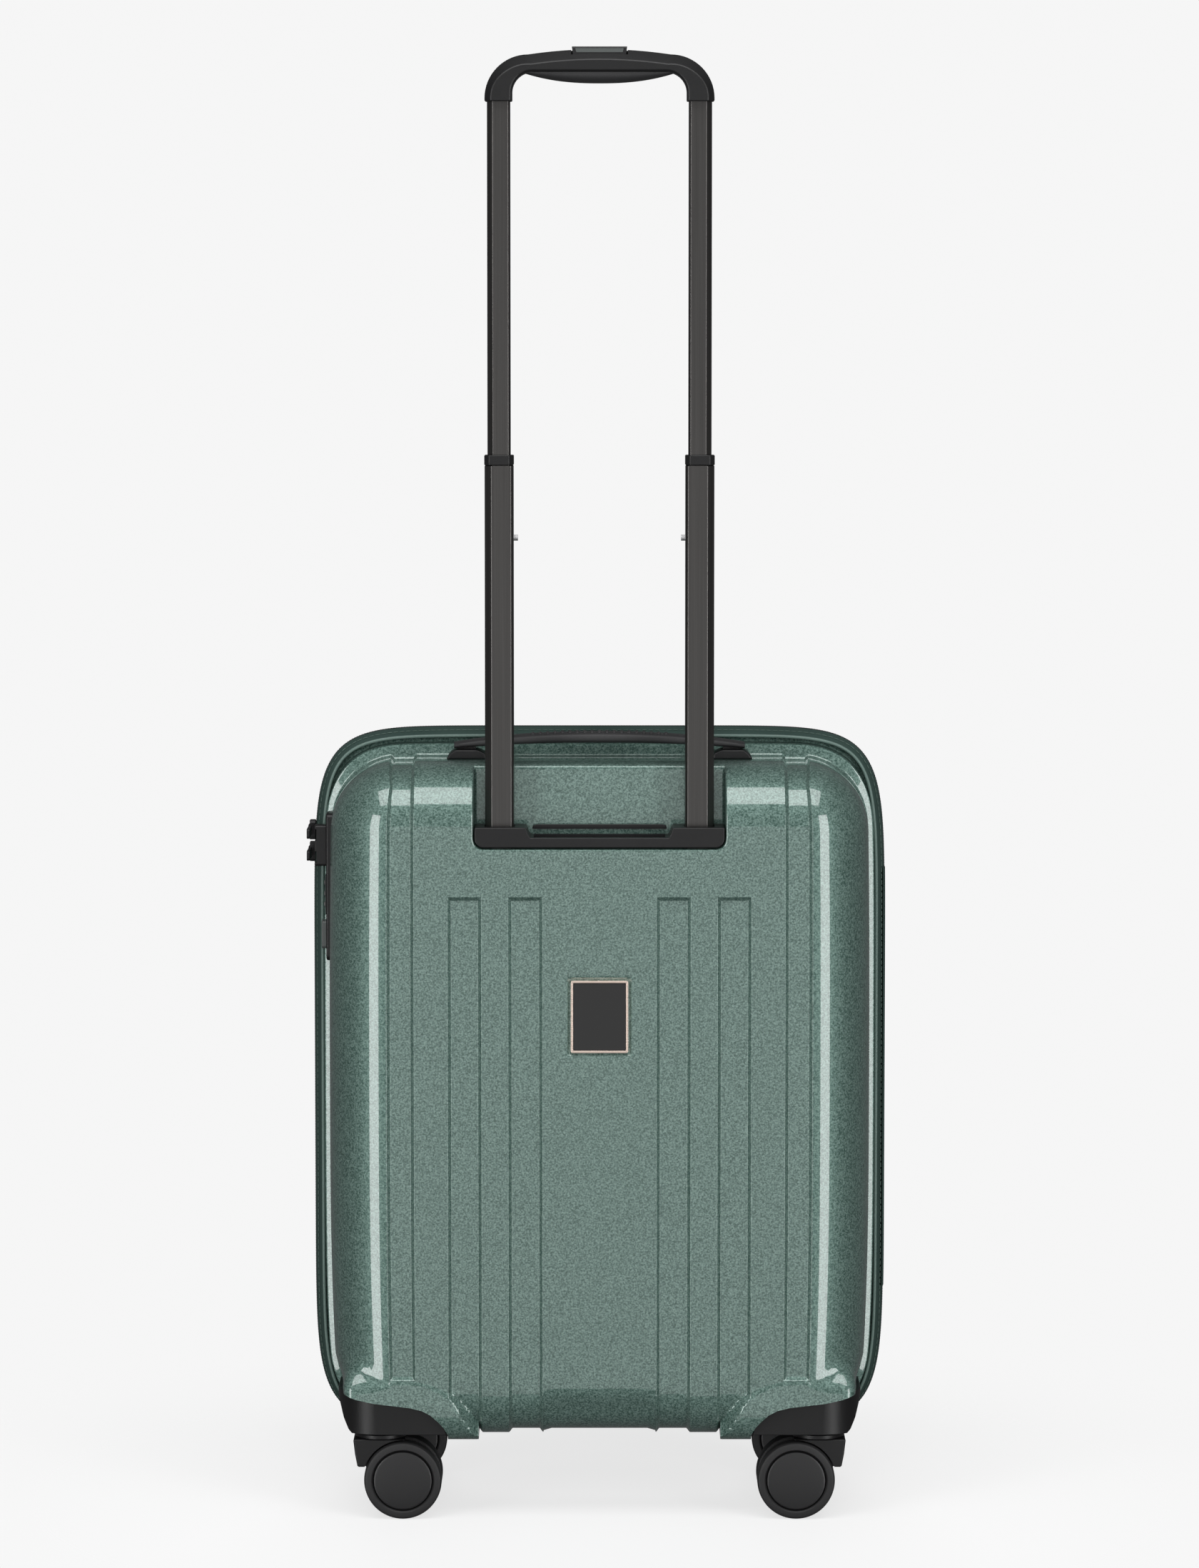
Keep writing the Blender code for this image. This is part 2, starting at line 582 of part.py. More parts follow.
for half, side_y in (("rear", -1), ("front", 1)):
    for side_x, hand in ((-1, "left"), (1, "right")):
        corner = f"{half}_{hand}"
        swivel_x, swivel_y = side_x * CASTER_X, side_y * CASTER_Y
        axle_x = swivel_x - side_x * TRAIL

        housing_outline = [(x + 0.0004, z - 0.0004) for x, z in WELL_EDGE] + HOUSING_SIDE
        housing_outline[0] = (housing_outline[0][0], HOUSING_BOTTOM)
        near, far = HOUSING_Y + 0.0004, HOUSING_BACK
        name = f"{corner}_caster_housing"
        housing = corner_plate(name, housing_outline, near, far, side_x, side_y, BLACK)
        bore_centre = (swivel_x, swivel_y, 0.065)
        combine(housing, round_bar(f"{corner}_pin_bore_cutter", bore_centre, "Z", 0.0063, 0.020, 16))

        wedge_outline = [(0.019, top_z), (0.0155, 0.0365), (0.009, 0.0365), (-0.004, top_z)]
        wedge_outline = [(swivel_x + side_x * u, v) for u, v in wedge_outline]
        web_outline = [(0.012, top_z), (-TRAIL + 0.005, 0.020), (-TRAIL - 0.006, 0.022), (-TRAIL, top_z)]
        web_outline = [(swivel_x + side_x * u, v) for u, v in web_outline]
        fork = plate(
            f"{corner}_fork", [wedge_outline], swivel_y - 0.017, swivel_y + 0.017, "Y", BLACK
        )
        clearance = round_bar(
            f"{corner}_wheel_clearance", (axle_x, swivel_y, WHEEL_RADIUS), "Y", 0.0283, 0.06, 24
        )
        combine(fork, clearance)
        web_half = WEB_HALF - 2 * GAP
        web = plate(f"{corner}_web", [web_outline], swivel_y - web_half, swivel_y + web_half, "Y")
        disc_height = 0.0044
        disc = round_bar(
            f"{corner}_disc", (swivel_x, swivel_y, top_z - disc_height / 2), "Z", 0.0185, disc_height
        )
        pin = round_bar(f"{corner}_pin", (swivel_x, swivel_y, 0.0645), "Z", 0.006, 0.018, 16)
        join(fork, web, disc, pin)
        axle_centre = (axle_x, swivel_y, WHEEL_RADIUS)
        combine(fork, round_bar(f"{corner}_axle_hole", axle_centre, "Y", AXLE_RADIUS + GAP, 0.05, 12))
        round_bar(f"{corner}_axle", axle_centre, "Y", AXLE_RADIUS, 0.034, 12, STEEL)

        for place, direction in (("outer", side_y), ("inner", -side_y)):
            face = Matrix.Translation((axle_x, swivel_y + direction * WEB_HALF, WHEEL_RADIUS))
            turn = Matrix.Rotation(-direction * math.pi / 2, 4, "X")
            turn @= Matrix.Rotation(math.pi / WHEEL_SIDES, 4, "Z")  # a flat of each wheel is lowest
            turned(f"{corner}_wheel_{place}", wheel_profile, face @ turn, RUBBER, WHEEL_SIDES)
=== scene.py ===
import math

import bmesh
import bpy
import numpy as np
from mathutils import Matrix, Vector


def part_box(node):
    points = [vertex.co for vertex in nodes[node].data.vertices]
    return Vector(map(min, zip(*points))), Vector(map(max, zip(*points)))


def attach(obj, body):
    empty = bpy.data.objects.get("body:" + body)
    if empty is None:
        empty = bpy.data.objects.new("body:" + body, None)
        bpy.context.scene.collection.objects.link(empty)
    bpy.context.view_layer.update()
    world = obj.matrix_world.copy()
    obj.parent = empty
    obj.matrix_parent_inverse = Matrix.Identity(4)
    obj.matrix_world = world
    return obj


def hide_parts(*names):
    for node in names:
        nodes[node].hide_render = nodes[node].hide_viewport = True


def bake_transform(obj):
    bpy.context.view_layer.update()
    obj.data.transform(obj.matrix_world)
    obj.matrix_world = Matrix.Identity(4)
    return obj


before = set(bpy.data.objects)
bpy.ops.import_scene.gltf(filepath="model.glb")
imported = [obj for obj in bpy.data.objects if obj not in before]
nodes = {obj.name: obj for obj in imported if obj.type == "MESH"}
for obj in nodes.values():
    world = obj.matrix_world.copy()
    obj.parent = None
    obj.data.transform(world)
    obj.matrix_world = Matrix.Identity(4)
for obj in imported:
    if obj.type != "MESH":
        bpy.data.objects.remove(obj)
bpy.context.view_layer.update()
MM = 0.001

# ---- camera, floor and studio light -------------------------------------------------------------
# A white sweep with upright softboxes at the front left and right, one overhead and a broad frontal
# one, and two more, in front and behind, that gloss doesn't show. The floor is a matt white disc
# that runs out softly into the white of the sweep.

scene = bpy.context.scene
scene.view_settings.view_transform = "Standard"

camera = bpy.data.objects.new("camera", bpy.data.cameras.new("camera"))
scene.collection.objects.link(camera)
scene.camera = camera
camera.data.sensor_fit = "HORIZONTAL"
camera.data.sensor_width = 36
camera.data.lens = 174.3
camera.location = (0, -4.1, 0.8674)
camera.rotation_euler = (math.radians(90 - 5), 0, 0)


class Wire:
    """One output socket of a material; sums and products written on it become Math nodes."""

    def __init__(self, finish, socket):
        self.finish = finish
        self.socket = socket

    def _math(self, operation, *values):
        return self.finish.node("ShaderNodeMath", {"operation": operation}, *values)

    def __add__(self, other):
        return self._math("ADD", self, other)

    __radd__ = __add__

    def __sub__(self, other):
        return self._math("SUBTRACT", self, other)

    def __rsub__(self, other):
        return self._math("SUBTRACT", other, self)

    def __mul__(self, other):
        return self._math("MULTIPLY", self, other)

    __rmul__ = __mul__

    def wave(self):
        return self._math("SINE", self)

    def size(self):
        return self._math("ABSOLUTE", self)

    def between(self, low, high):
        """0 below low, 1 above high, smooth between."""
        settings = {"interpolation_type": "SMOOTHSTEP"}
        return self.finish.node("ShaderNodeMapRange", settings, Value=self, From_Min=low, From_Max=high)


class Finish:
    """A material built round one Principled shader; sockets take numbers, colours or wires."""

    def __init__(self, name, color, roughness, metallic=0.0):
        self.made = bpy.data.materials.new(name)
        self.made.use_nodes = True
        self.made.diffuse_color = (*color, 1)
        self.tree = self.made.node_tree
        self.shader = self.tree.nodes["Principled BSDF"]
        self.set(Base_Color=(*color, 1), Roughness=roughness, Metallic=metallic)

    def feed(self, socket, value):
        if isinstance(value, Wire):
            self.tree.links.new(value.socket, socket)
        else:
            socket.default_value = value

    def set(self, **values):
        for key, value in values.items():
            self.feed(self.shader.inputs[key.replace("_", " ")], value)

    def node(self, kind, settings=None, *values, out=0, **named):
        made = self.tree.nodes.new(kind)
        for key, value in (settings or {}).items():
            setattr(made, key, value)
        for index, value in enumerate(values):
            self.feed(made.inputs[index], value)
        for key, value in named.items():
            self.feed(made.inputs[key.replace("_", " ")], value)
        return Wire(self, made.outputs[out])

    def place(self):
        return self.node("ShaderNodeTexCoord", out="Object")

    def stretched(self, scale):
        return self.node("ShaderNodeMapping", None, Vector=self.place(), Scale=scale)

    def axis(self, index):
        return self.node("ShaderNodeSeparateXYZ", None, self.place(), out=index)

    def weave(self, pitch):
        """Diagonal threads both ways, from -1 to 1."""
        return (self.axis(0) * pitch + self.axis(2) * pitch).wave() * (
            self.axis(0) * pitch - self.axis(2) * pitch
        ).wave()

    def noise(self, scale, detail=2.0, roughness=0.5, vector=None):
        values = {"Vector": vector or self.place(), "Scale": scale, "Detail": detail, "Roughness": roughness}
        return self.node("ShaderNodeTexNoise", None, **values)

    def tint(self, factor, first, second):
        """Colours the material with a mix of two colours."""
        made = self.tree.nodes.new("ShaderNodeMix")
        made.data_type = "RGBA"
        for socket, value in ((made.inputs[0], factor), (made.inputs[6], first), (made.inputs[7], second)):
            if isinstance(value, tuple) and len(value) == 3:
                value = (*value, 1)
            self.feed(socket, value)
        self.set(Base_Color=Wire(self, made.outputs[2]))

    def bump(self, height, strength, distance):
        wire = self.node("ShaderNodeBump", None, Height=height, Strength=strength, Distance=distance)
        self.set(Normal=wire)


def softbox(name, place, towards, width, height, power):
    light = bpy.data.objects.new(name, bpy.data.lights.new(name, "AREA"))
    scene.collection.objects.link(light)
    light.data.shape = "RECTANGLE"
    light.data.size = width
    light.data.size_y = height
    light.data.energy = power
    light.location = place
    light.rotation_euler = (Vector(towards) - Vector(place)).to_track_quat("-Z", "Y").to_euler()
    return light


softbox("softbox_left", (-2.35, -2.75, 0.45), (0, 0, 0.45), 1.0, 3.4, 58)
softbox("softbox_right", (2.35, -2.75, 0.45), (0, 0, 0.45), 1.0, 3.4, 58)
softbox("softbox_top", (0, -1.05, 2.35), (0, -0.05, 0.2), 2.6, 1.2, 38)
softbox("softbox_front", (0, -5.6, -0.25), (0, 0, 0.3), 3.0, 3.2, 21)
softbox("softbox_fill", (0, -5.4, 1.6), (0, 0, 0.35), 2.4, 2.4, 95).visible_glossy = False
softbox("softbox_back", (0, 4.6, 1.8), (0, 0, 0.35), 3.0, 2.4, 130).visible_glossy = False

world = bpy.data.worlds.new("sweep")
scene.world = world
world.use_nodes = True
lit = world.node_tree.nodes["Background"]
lit.inputs["Color"].default_value = (0.11, 0.11, 0.112, 1)
seen = world.node_tree.nodes.new("ShaderNodeBackground")
seen.inputs["Color"].default_value = (0.92, 0.92, 0.92, 1)
path = world.node_tree.nodes.new("ShaderNodeLightPath")
either = world.node_tree.nodes.new("ShaderNodeMixShader")
links = world.node_tree.links
links.new(path.outputs["Is Camera Ray"], either.inputs[0])
links.new(lit.outputs[0], either.inputs[1])
links.new(seen.outputs[0], either.inputs[2])
links.new(either.outputs[0], world.node_tree.nodes["World Output"].inputs["Surface"])

sheet = bmesh.new()
bmesh.ops.create_grid(sheet, x_segments=1, y_segments=1, size=3)
floor_mesh = bpy.data.meshes.new("floor")
sheet.to_mesh(floor_mesh)
sheet.free()
floor = bpy.data.objects.new("floor", floor_mesh)
scene.collection.objects.link(floor)
white = Finish("white_floor", (0.26, 0.26, 0.26), 0.9)
white.set(Specular_IOR_Level=0.0)
reach = white.node("ShaderNodeVectorMath", {"operation": "LENGTH"}, white.place(), out="Value")
white.set(Alpha=1 - reach.between(0.22, 0.62), Emission_Color=(1, 1, 1, 1), Emission_Strength=0.70)
floor_mesh.materials.append(white.made)
floor.visible_diffuse = False
floor.visible_glossy = False

# ---- the two hard shells ------------------------------------------------------------------------
# Each half is one vacuum-formed sheet of green polycarbonate 2 mm thick, its metal flake under a
# glossy skin: a flat panel with pressed channels, broad rounded edges, and a stepped rim that the
# zip's tape is sewn to. The rear half is pressed in at the top to take the trolley handle.

half_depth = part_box("front_shell")[1].y
rim_low, rim_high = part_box("rear_zip_tape")
RIM_HALF = rim_high.x
RIM_MIDDLE = (rim_low.z + rim_high.z) / 2
RIM_TALL = (rim_high.z - rim_low.z) / 2
RIM_SQUARENESS = 8.7
BODY_HALF = 189.5 * MM
BODY_LOW, BODY_HIGH = 56.8 * MM, 530 * MM
BODY_MIDDLE = (BODY_LOW + BODY_HIGH) / 2
EDGE = 48 * MM
STEP_Y = 18 * MM
SHEET = 2 * MM
FLAT_HALF = BODY_HALF - EDGE
FLAT_LOW, FLAT_HIGH = BODY_LOW + EDGE, BODY_HIGH - EDGE
FLAT_Y = half_depth - EDGE

CHANNEL_DEPTH = 2.8 * MM
CHANNEL_RAMP = 2.8 * MM
CHANNEL_TOP = 438.7 * MM
SHORT_CHANNELS = ((39.4 * MM, 63.6 * MM), (81.8 * MM, 105.7 * MM))
LONG_CHANNEL = (128.8 * MM, 148.4 * MM)
LONG_CHANNEL_END = 99 * MM
BADGE_MIDDLE = 355.2 * MM
BADGE_SEAT = (21.2 * MM, 26.5 * MM)

RECESS_HALF = 87.6 * MM
RECESS_LOW = 472.0 * MM
RECESS_FLOOR = 68 * MM
RECESS_CORNER = 7 * MM
RECESS_EDGE = 1.4 * MM
RECESS_DRAFT = 0.25 * MM
RECESS_INNER = 2 * MM
RECESS_FOLD = 3 * MM

WELL_EDGE = [(106, 60.5), (109, 66), (113, 70.5), (118, 75), (124, 78.2), (132, 80.2), (141, 81.3)]
WELL_EDGE += [(158, 83.3), (170, 86), (184, 91)]
CREASE = [(85, 58), (90.5, 69), (95, 77), (101, 85.5), (108, 91), (117, 95), (128, 98), (146, 98.6)]
CREASE += [(152, 95.5), (162, 94.8), (178, 96), (200, 98)]
WELL_EDGE = [(x * MM, z * MM) for x, z in WELL_EDGE]
CREASE = [(x * MM, z * MM) for x, z in CREASE]


def mesh_object(name, points, faces, smooth_angle=40):
    mesh = bpy.data.meshes.new(name)
    mesh.from_pydata([tuple(p) for p in points], [], [tuple(f) for f in faces])
    return shaded(name, mesh, smooth_angle)


def shaded(name, mesh, smooth_angle=40):
    mesh.validate()
    mesh.shade_smooth()
    mesh.set_sharp_from_angle(angle=math.radians(smooth_angle))
    made = bpy.data.objects.new(name, mesh)
    scene.collection.objects.link(made)
    return made


def built(name, made, smooth_angle):
    """An object from a bmesh, which is freed."""
    mesh = bpy.data.meshes.new(name)
    made.to_mesh(mesh)
    made.free()
    return shaded(name, mesh, smooth_angle)


def modified(piece, *modifiers):
    """Adds modifiers, given as (type, settings), and bakes them into the piece's mesh."""
    for kind, settings in modifiers:
        added = piece.modifiers.new(kind.title(), kind)
        for key, value in settings.items():
            setattr(added, key, value)
    bpy.context.view_layer.update()
    graph = bpy.context.evaluated_depsgraph_get()
    mesh = bpy.data.meshes.new_from_object(piece.evaluated_get(graph))
    mesh.name = piece.name
    piece.modifiers.clear()
    piece.data = mesh
    return piece


def finished(piece, finish, slot, body, *replaced):
    """Gives a piece its material and its body, and hides the CAD nodes that it stands for; slot is not used.
    """
    if len(piece.data.polygons) < 20000:
        modified(piece, ("WEIGHTED_NORMAL", {"keep_sharp": True}))
    piece.data.materials.clear()
    piece.data.materials.append(finish.made)
    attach(piece, body)
    if replaced:
        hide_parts(*replaced)
    return piece


def smooth(value, low, high):
    t = np.clip((value - low) / (high - low), 0, 1)
    return t * t * (3 - 2 * t)


def grid_lines(keys, low, high, pitch):
    """Grid lines from low to high: every key, and filled in between at about the pitch."""
    keys = sorted({round(k, 6) for k in [*keys, low, high] if low - 1e-9 <= k <= high + 1e-9})
    kept = [keys[0]]
    for key in keys[1:]:
        if key - kept[-1] < 0.12 * MM and key != keys[-1]:
            continue
        gap = key - kept[-1]
        count = max(1, round(gap / pitch))
        kept += [kept[-1] + gap * i / count for i in range(1, count)] + [key]
    return kept


def ramp_lines(place, ramp, way=1):
    """Lines across one pressed edge that starts at place and runs inwards by ramp."""
    return [place + way * ramp * t for t in (-0.1, 0, 0.11, 0.22, 0.34, 0.66, 0.78, 0.89, 1, 1.1)]


def side_of(points, x, z):
    """Distance from (x, z) to a line of points running outwards, negative below it."""
    best = np.full(x.shape, 1e9)
    under = np.zeros(x.shape, bool)
    for (ax, az), (bx, bz) in zip(points, points[1:]):
        ux, uz = bx - ax, bz - az
        t = np.clip(((x - ax) * ux + (z - az) * uz) / (ux * ux + uz * uz), 0, 1)
        away = np.hypot(x - ax - t * ux, z - az - t * uz)
        right = (x - ax) * uz - (z - az) * ux > 0
        nearer = away < best
        under = np.where(nearer, right, under)
        best = np.where(nearer, away, best)
    return np.where(under, -best, best)


def body_point(points, inset=0.0):
    """Points of a box's faces drawn in to the shell's rounded form, and the normals there."""
    x, y, z = points.T
    core = [np.clip(x, -FLAT_HALF, FLAT_HALF), np.maximum(y, -FLAT_Y), np.clip(z, FLAT_LOW, FLAT_HIGH)]
    core = np.stack(core, 1)
    normal = points - core
    normal /= np.linalg.norm(normal, axis=1, keepdims=True)
    return core + normal * (EDGE - inset), normal


def corner_point(points):
    """The blockier form that the shell takes round a caster's housing."""
    x, y, z = points.T
    radius = 7 * MM
    half = 184 * MM - np.maximum(0, 95 * MM - z) * 0.22
    back = 100.2 * MM - np.clip(96 * MM - z, 0, 36 * MM) * 0.13
    cx = np.clip(x, -half + radius, half - radius)
    cz = np.maximum(z, 67 * MM)
    cy = np.maximum(y, -back + radius)
    offset = points - np.stack([cx, cy, cz], 1)
    offset *= radius / np.maximum(np.linalg.norm(offset, axis=1, keepdims=True), 1e-9)
    return np.stack([cx, cy, cz], 1) + offset


def chamfer(inside):
    """A pressed edge's fall: a straight slope with a small radius at its top and bottom."""
    t = np.clip(inside / CHANNEL_RAMP, 0, 1)
    soft = 0.16
    low, high = t * t / (2 * soft), 1 - soft - (1 - t) ** 2 / (2 * soft)
    fall = np.where(t < soft, low, np.where(t > 1 - soft, high, t - soft / 2))
    return fall / (1 - soft)


def pressed(x, z, full):
    """How deep the channels are pressed in; on the front half all of them run up and over."""
    ax = np.abs(x)
    depth = np.zeros(x.shape)
    for low, high in SHORT_CHANNELS:
        inside = np.minimum(ax - low, high - ax)
        along = inside if full else np.minimum(inside, CHANNEL_TOP - z)
        depth = np.maximum(depth, chamfer(along))
    inside = np.minimum(ax - LONG_CHANNEL[0], LONG_CHANNEL[1] - ax)
    depth = np.maximum(depth, chamfer(np.minimum(inside, z - LONG_CHANNEL_END)))
    # The middle panel falls to the channels' depth where it turns under the case.
    inside = smooth(SHORT_CHANNELS[0][0] - ax, -0.2 * MM, 0.8 * MM)
    panel = inside * smooth(FLAT_LOW - 10 * MM - z, 0, 22 * MM)
    return CHANNEL_DEPTH * np.maximum(depth, panel)


def badge_seat(x, z):
    edge = np.minimum(BADGE_SEAT[0] - np.abs(x), BADGE_SEAT[1] - np.abs(z - BADGE_MIDDLE))
    return 1.2 * MM * smooth(edge, -1.2 * MM, 0.4 * MM)


quarter = [EDGE * math.tan(math.radians(45 * i / 11)) for i in range(12)]
fold_row = EDGE * (RECESS_FLOOR - FLAT_Y) / math.sqrt(EDGE**2 - (RECESS_FLOOR - FLAT_Y) ** 2)
recess_rings = [RECESS_CORNER, 5 * MM, 0, -RECESS_DRAFT - RECESS_INNER, -RECESS_DRAFT]
recess_rings += [RECESS_EDGE * math.cos(math.radians(22.5 * i)) for i in range(5)]
recess_rings += [-RECESS_DRAFT - RECESS_INNER * (1 - math.cos(math.radians(22.5 * i))) for i in range(5)]
recess_rings += [-RECESS_CORNER, -4.5 * MM]

keys = [FLAT_HALF + t for t in quarter] + [RECESS_HALF + r for r in recess_rings]
for low, high in (*SHORT_CHANNELS, LONG_CHANNEL):
    keys += ramp_lines(low, CHANNEL_RAMP) + ramp_lines(high, CHANNEL_RAMP, -1)
keys += [20.0 * MM, 20.8 * MM, 21.6 * MM, 22.4 * MM]
keys += [84 * MM + 1.7 * MM * i for i in range(27)]
columns = grid_lines(keys, 0, BODY_HALF, 6 * MM)
columns = [-c for c in reversed(columns[1:])] + columns
keys = [FLAT_LOW - t for t in quarter] + [FLAT_HIGH + t for t in quarter]
keys += ramp_lines(CHANNEL_TOP, CHANNEL_RAMP, -1) + ramp_lines(LONG_CHANNEL_END, CHANNEL_RAMP)
keys += [RECESS_LOW - r for r in recess_rings]
for side in (-1, 1):
    keys += [BADGE_MIDDLE + side * (BADGE_SEAT[1] + t * MM) for t in (-0.4, 0.2, 0.8, 1.4)]
keys += [BODY_LOW + 2.2 * MM * i for i in range(21)]
rows = grid_lines(keys, BODY_LOW, BODY_HIGH, 6 * MM)
keys = [FLAT_Y + t for t in quarter]
keys += [FLAT_Y + fold_row + t * MM for t in (-5, -3.6, -2.4, -1.2, 0, 1.2, 2.4)]
depths = grid_lines(keys, STEP_Y, half_depth, 6 * MM)


def box_grid(columns, rows, depths):
    """The open box whose faces carry the shell's grid: its points and its quads."""
    points, quads, index = [], [], {}

    def vertex(*place):
        key = tuple(round(p, 7) for p in place)
        if key not in index:
            index[key] = len(points)
            points.append(key)
        return index[key]

    def patch(us, vs, place):
        for u0, u1 in zip(us, us[1:]):
            for v0, v1 in zip(vs, vs[1:]):
                corners = ((u0, v0), (u1, v0), (u1, v1), (u0, v1))
                quads.append(tuple(vertex(*place(u, v)) for u, v in corners))

    half, low, high = columns[-1], rows[0], rows[-1]
    back = depths[-1]
    patch(columns, rows, lambda u, v: (u, -back, v))
    patch(depths[::-1], rows, lambda u, v: (half, -u, v))
    patch(depths, rows, lambda u, v: (-half, -u, v))
    patch(columns, depths, lambda u, v: (u, -v, low))
    patch(columns, depths[::-1], lambda u, v: (u, -v, high))
    return np.array(points), quads


def open_edge(quads):
    """The vertices round the one open edge of a sheet of quads, in order."""
    loose = set()
    for quad in quads:
        for a, b in zip(quad, quad[1:] + quad[:1]):
            if (b, a) in loose:
                loose.remove((b, a))
            else:
                loose.add((a, b))
    following = dict(loose)
    loop = [min(following)]
    while following[loop[-1]] != loop[0]:
        loop.append(following[loop[-1]])
    return loop


def outline_point(start, way):
    """Where rays meet the case's outline, a superellipse."""
    low, high = np.zeros(len(start)), np.full(len(start), 0.15)
    for _ in range(40):
        middle = (low + high) / 2
        at = start + way * middle[:, None]
        x = np.abs(at[:, 0] / RIM_HALF) ** RIM_SQUARENESS
        z = np.abs((at[:, 1] - RIM_MIDDLE) / RIM_TALL) ** RIM_SQUARENESS
        outside = x + z > 1
        high = np.where(outside, middle, high)
        low = np.where(outside, low, middle)
    return start + way * high[:, None]


def barrel(points):
    """The sides draw in towards the top and, more, the bottom, and the bottom's fold is squarer."""
    up = (points[:, 2] - BODY_MIDDLE) / (BODY_HIGH - BODY_MIDDLE)
    narrow = np.where(up < 0, 0.036, 0.012) * np.abs(np.clip(up, -1, 1)) ** 3
    drawn = points.copy()
    below = np.maximum(FLAT_LOW - points[:, 2], 0) / EDGE
    behind = np.maximum(-FLAT_Y - points[:, 1], 0) / EDGE
    reach = np.hypot(below, behind) + 1e-9
    share = np.where(reach > 1e-6, (below / reach) ** 3.4 + (behind / reach) ** 3.4, 1.0)
    square = 1 + (share ** (-1 / 3.4) - 1) * (1 - smooth(reach, 1.0, 1.45))
    drawn[:, 2] -= below * (square - 1) * EDGE
    drawn[:, 1] -= behind * (square - 1) * EDGE
    drawn[:, 0] *= 1 - narrow * smooth(np.abs(points[:, 0]), 0.10, 0.19)
    return drawn


def round_recess_corners(points):
    """Turns the grid's square rings round the recess's lower corners into round ones."""
    x, y, z = points.T
    dx = np.abs(x) - (RECESS_HALF - RECESS_CORNER)
    dz = RECESS_LOW + RECESS_CORNER - z
    ring = np.maximum(dx, dz)
    away = np.hypot(dx, dz)
    near = (dx > 0) & (dz > 0) & (y < -half_depth + 1e-6)
    fade = 1 - smooth(ring, RECESS_CORNER + RECESS_EDGE, 2 * RECESS_CORNER)
    factor = np.where(near, 1 + (ring / np.maximum(away, 1e-9) - 1) * fade, 1)
    turned = points.copy()
    turned[:, 0] = np.where(near, np.sign(x) * (RECESS_HALF - RECESS_CORNER + dx * factor), x)
    turned[:, 2] = np.where(near, RECESS_LOW + RECESS_CORNER - dz * factor, z)
    return turned


def press_recess(grid, formed):
    """Sinks the handle recess into the rear half: its edge, walls, floor and the fold at its top."""
    x, _, z = grid.T
    ring = np.maximum(np.abs(x) - RECESS_HALF, RECESS_LOW - z)
    surface = formed[:, 1]
    room = np.maximum(-RECESS_FLOOR - surface, 0)
    edge, inner = np.minimum(RECESS_EDGE, 0.45 * room), np.minimum(RECESS_INNER, 0.45 * room)
    t = np.clip((RECESS_EDGE - ring) / RECESS_EDGE, 0, 1)
    y = surface + edge * (1 - np.sqrt(1 - t * t))
    t = np.clip(1 + (ring + RECESS_DRAFT) / RECESS_INNER, 0, 1)
    sunk = -RECESS_FLOOR - inner * (1 - np.sqrt(1 - t * t))
    y = np.where(ring <= -RECESS_DRAFT * 0.9, sunk, y)
    reach = (ring < RECESS_EDGE) & (surface < -RECESS_FLOOR) & (z > RECESS_LOW - 20 * MM)
    pressed_in = formed.copy()
    pressed_in[:, 1] = np.where(reach, y, surface)
    # The fold where the floor turns over into the case's top.
    fold_y = -RECESS_FLOOR + RECESS_FOLD
    fold_z = FLAT_HIGH + math.sqrt((EDGE - RECESS_FOLD) ** 2 - (fold_y + FLAT_Y) ** 2)
    dy, dz = pressed_in[:, 1] - fold_y, pressed_in[:, 2] - fold_z
    meets = FLAT_HIGH + (fold_z - FLAT_HIGH) * EDGE / (EDGE - RECESS_FOLD)
    at_fold = (ring < -RECESS_DRAFT) & (dz > 0) & (pressed_in[:, 2] < meets) & (z > FLAT_HIGH)
    away = np.maximum(np.hypot(dy, dz), 1e-9)
    pressed_in[:, 1] = np.where(at_fold, fold_y + dy / away * RECESS_FOLD, pressed_in[:, 1])
    pressed_in[:, 2] = np.where(at_fold, fold_z + dz / away * RECESS_FOLD, pressed_in[:, 2])
    return pressed_in


# Seen from the foot of the body's wall (0) to the outermost edge (1), and its distance from the
# middle of the case in millimetres: a groove, the flange, its lip, and the edge under the tape.
FLANGE = [(0.02, 16.9), (0.06, 16.0), (0.12, 15.6), (0.34, 15.0), (0.40, 14.6), (0.435, 13.6)]
FLANGE += [(0.45, 12.0), (0.455, 7.0), (0.48, 5.2), (0.62, 4.6), (0.80, 2.0)]


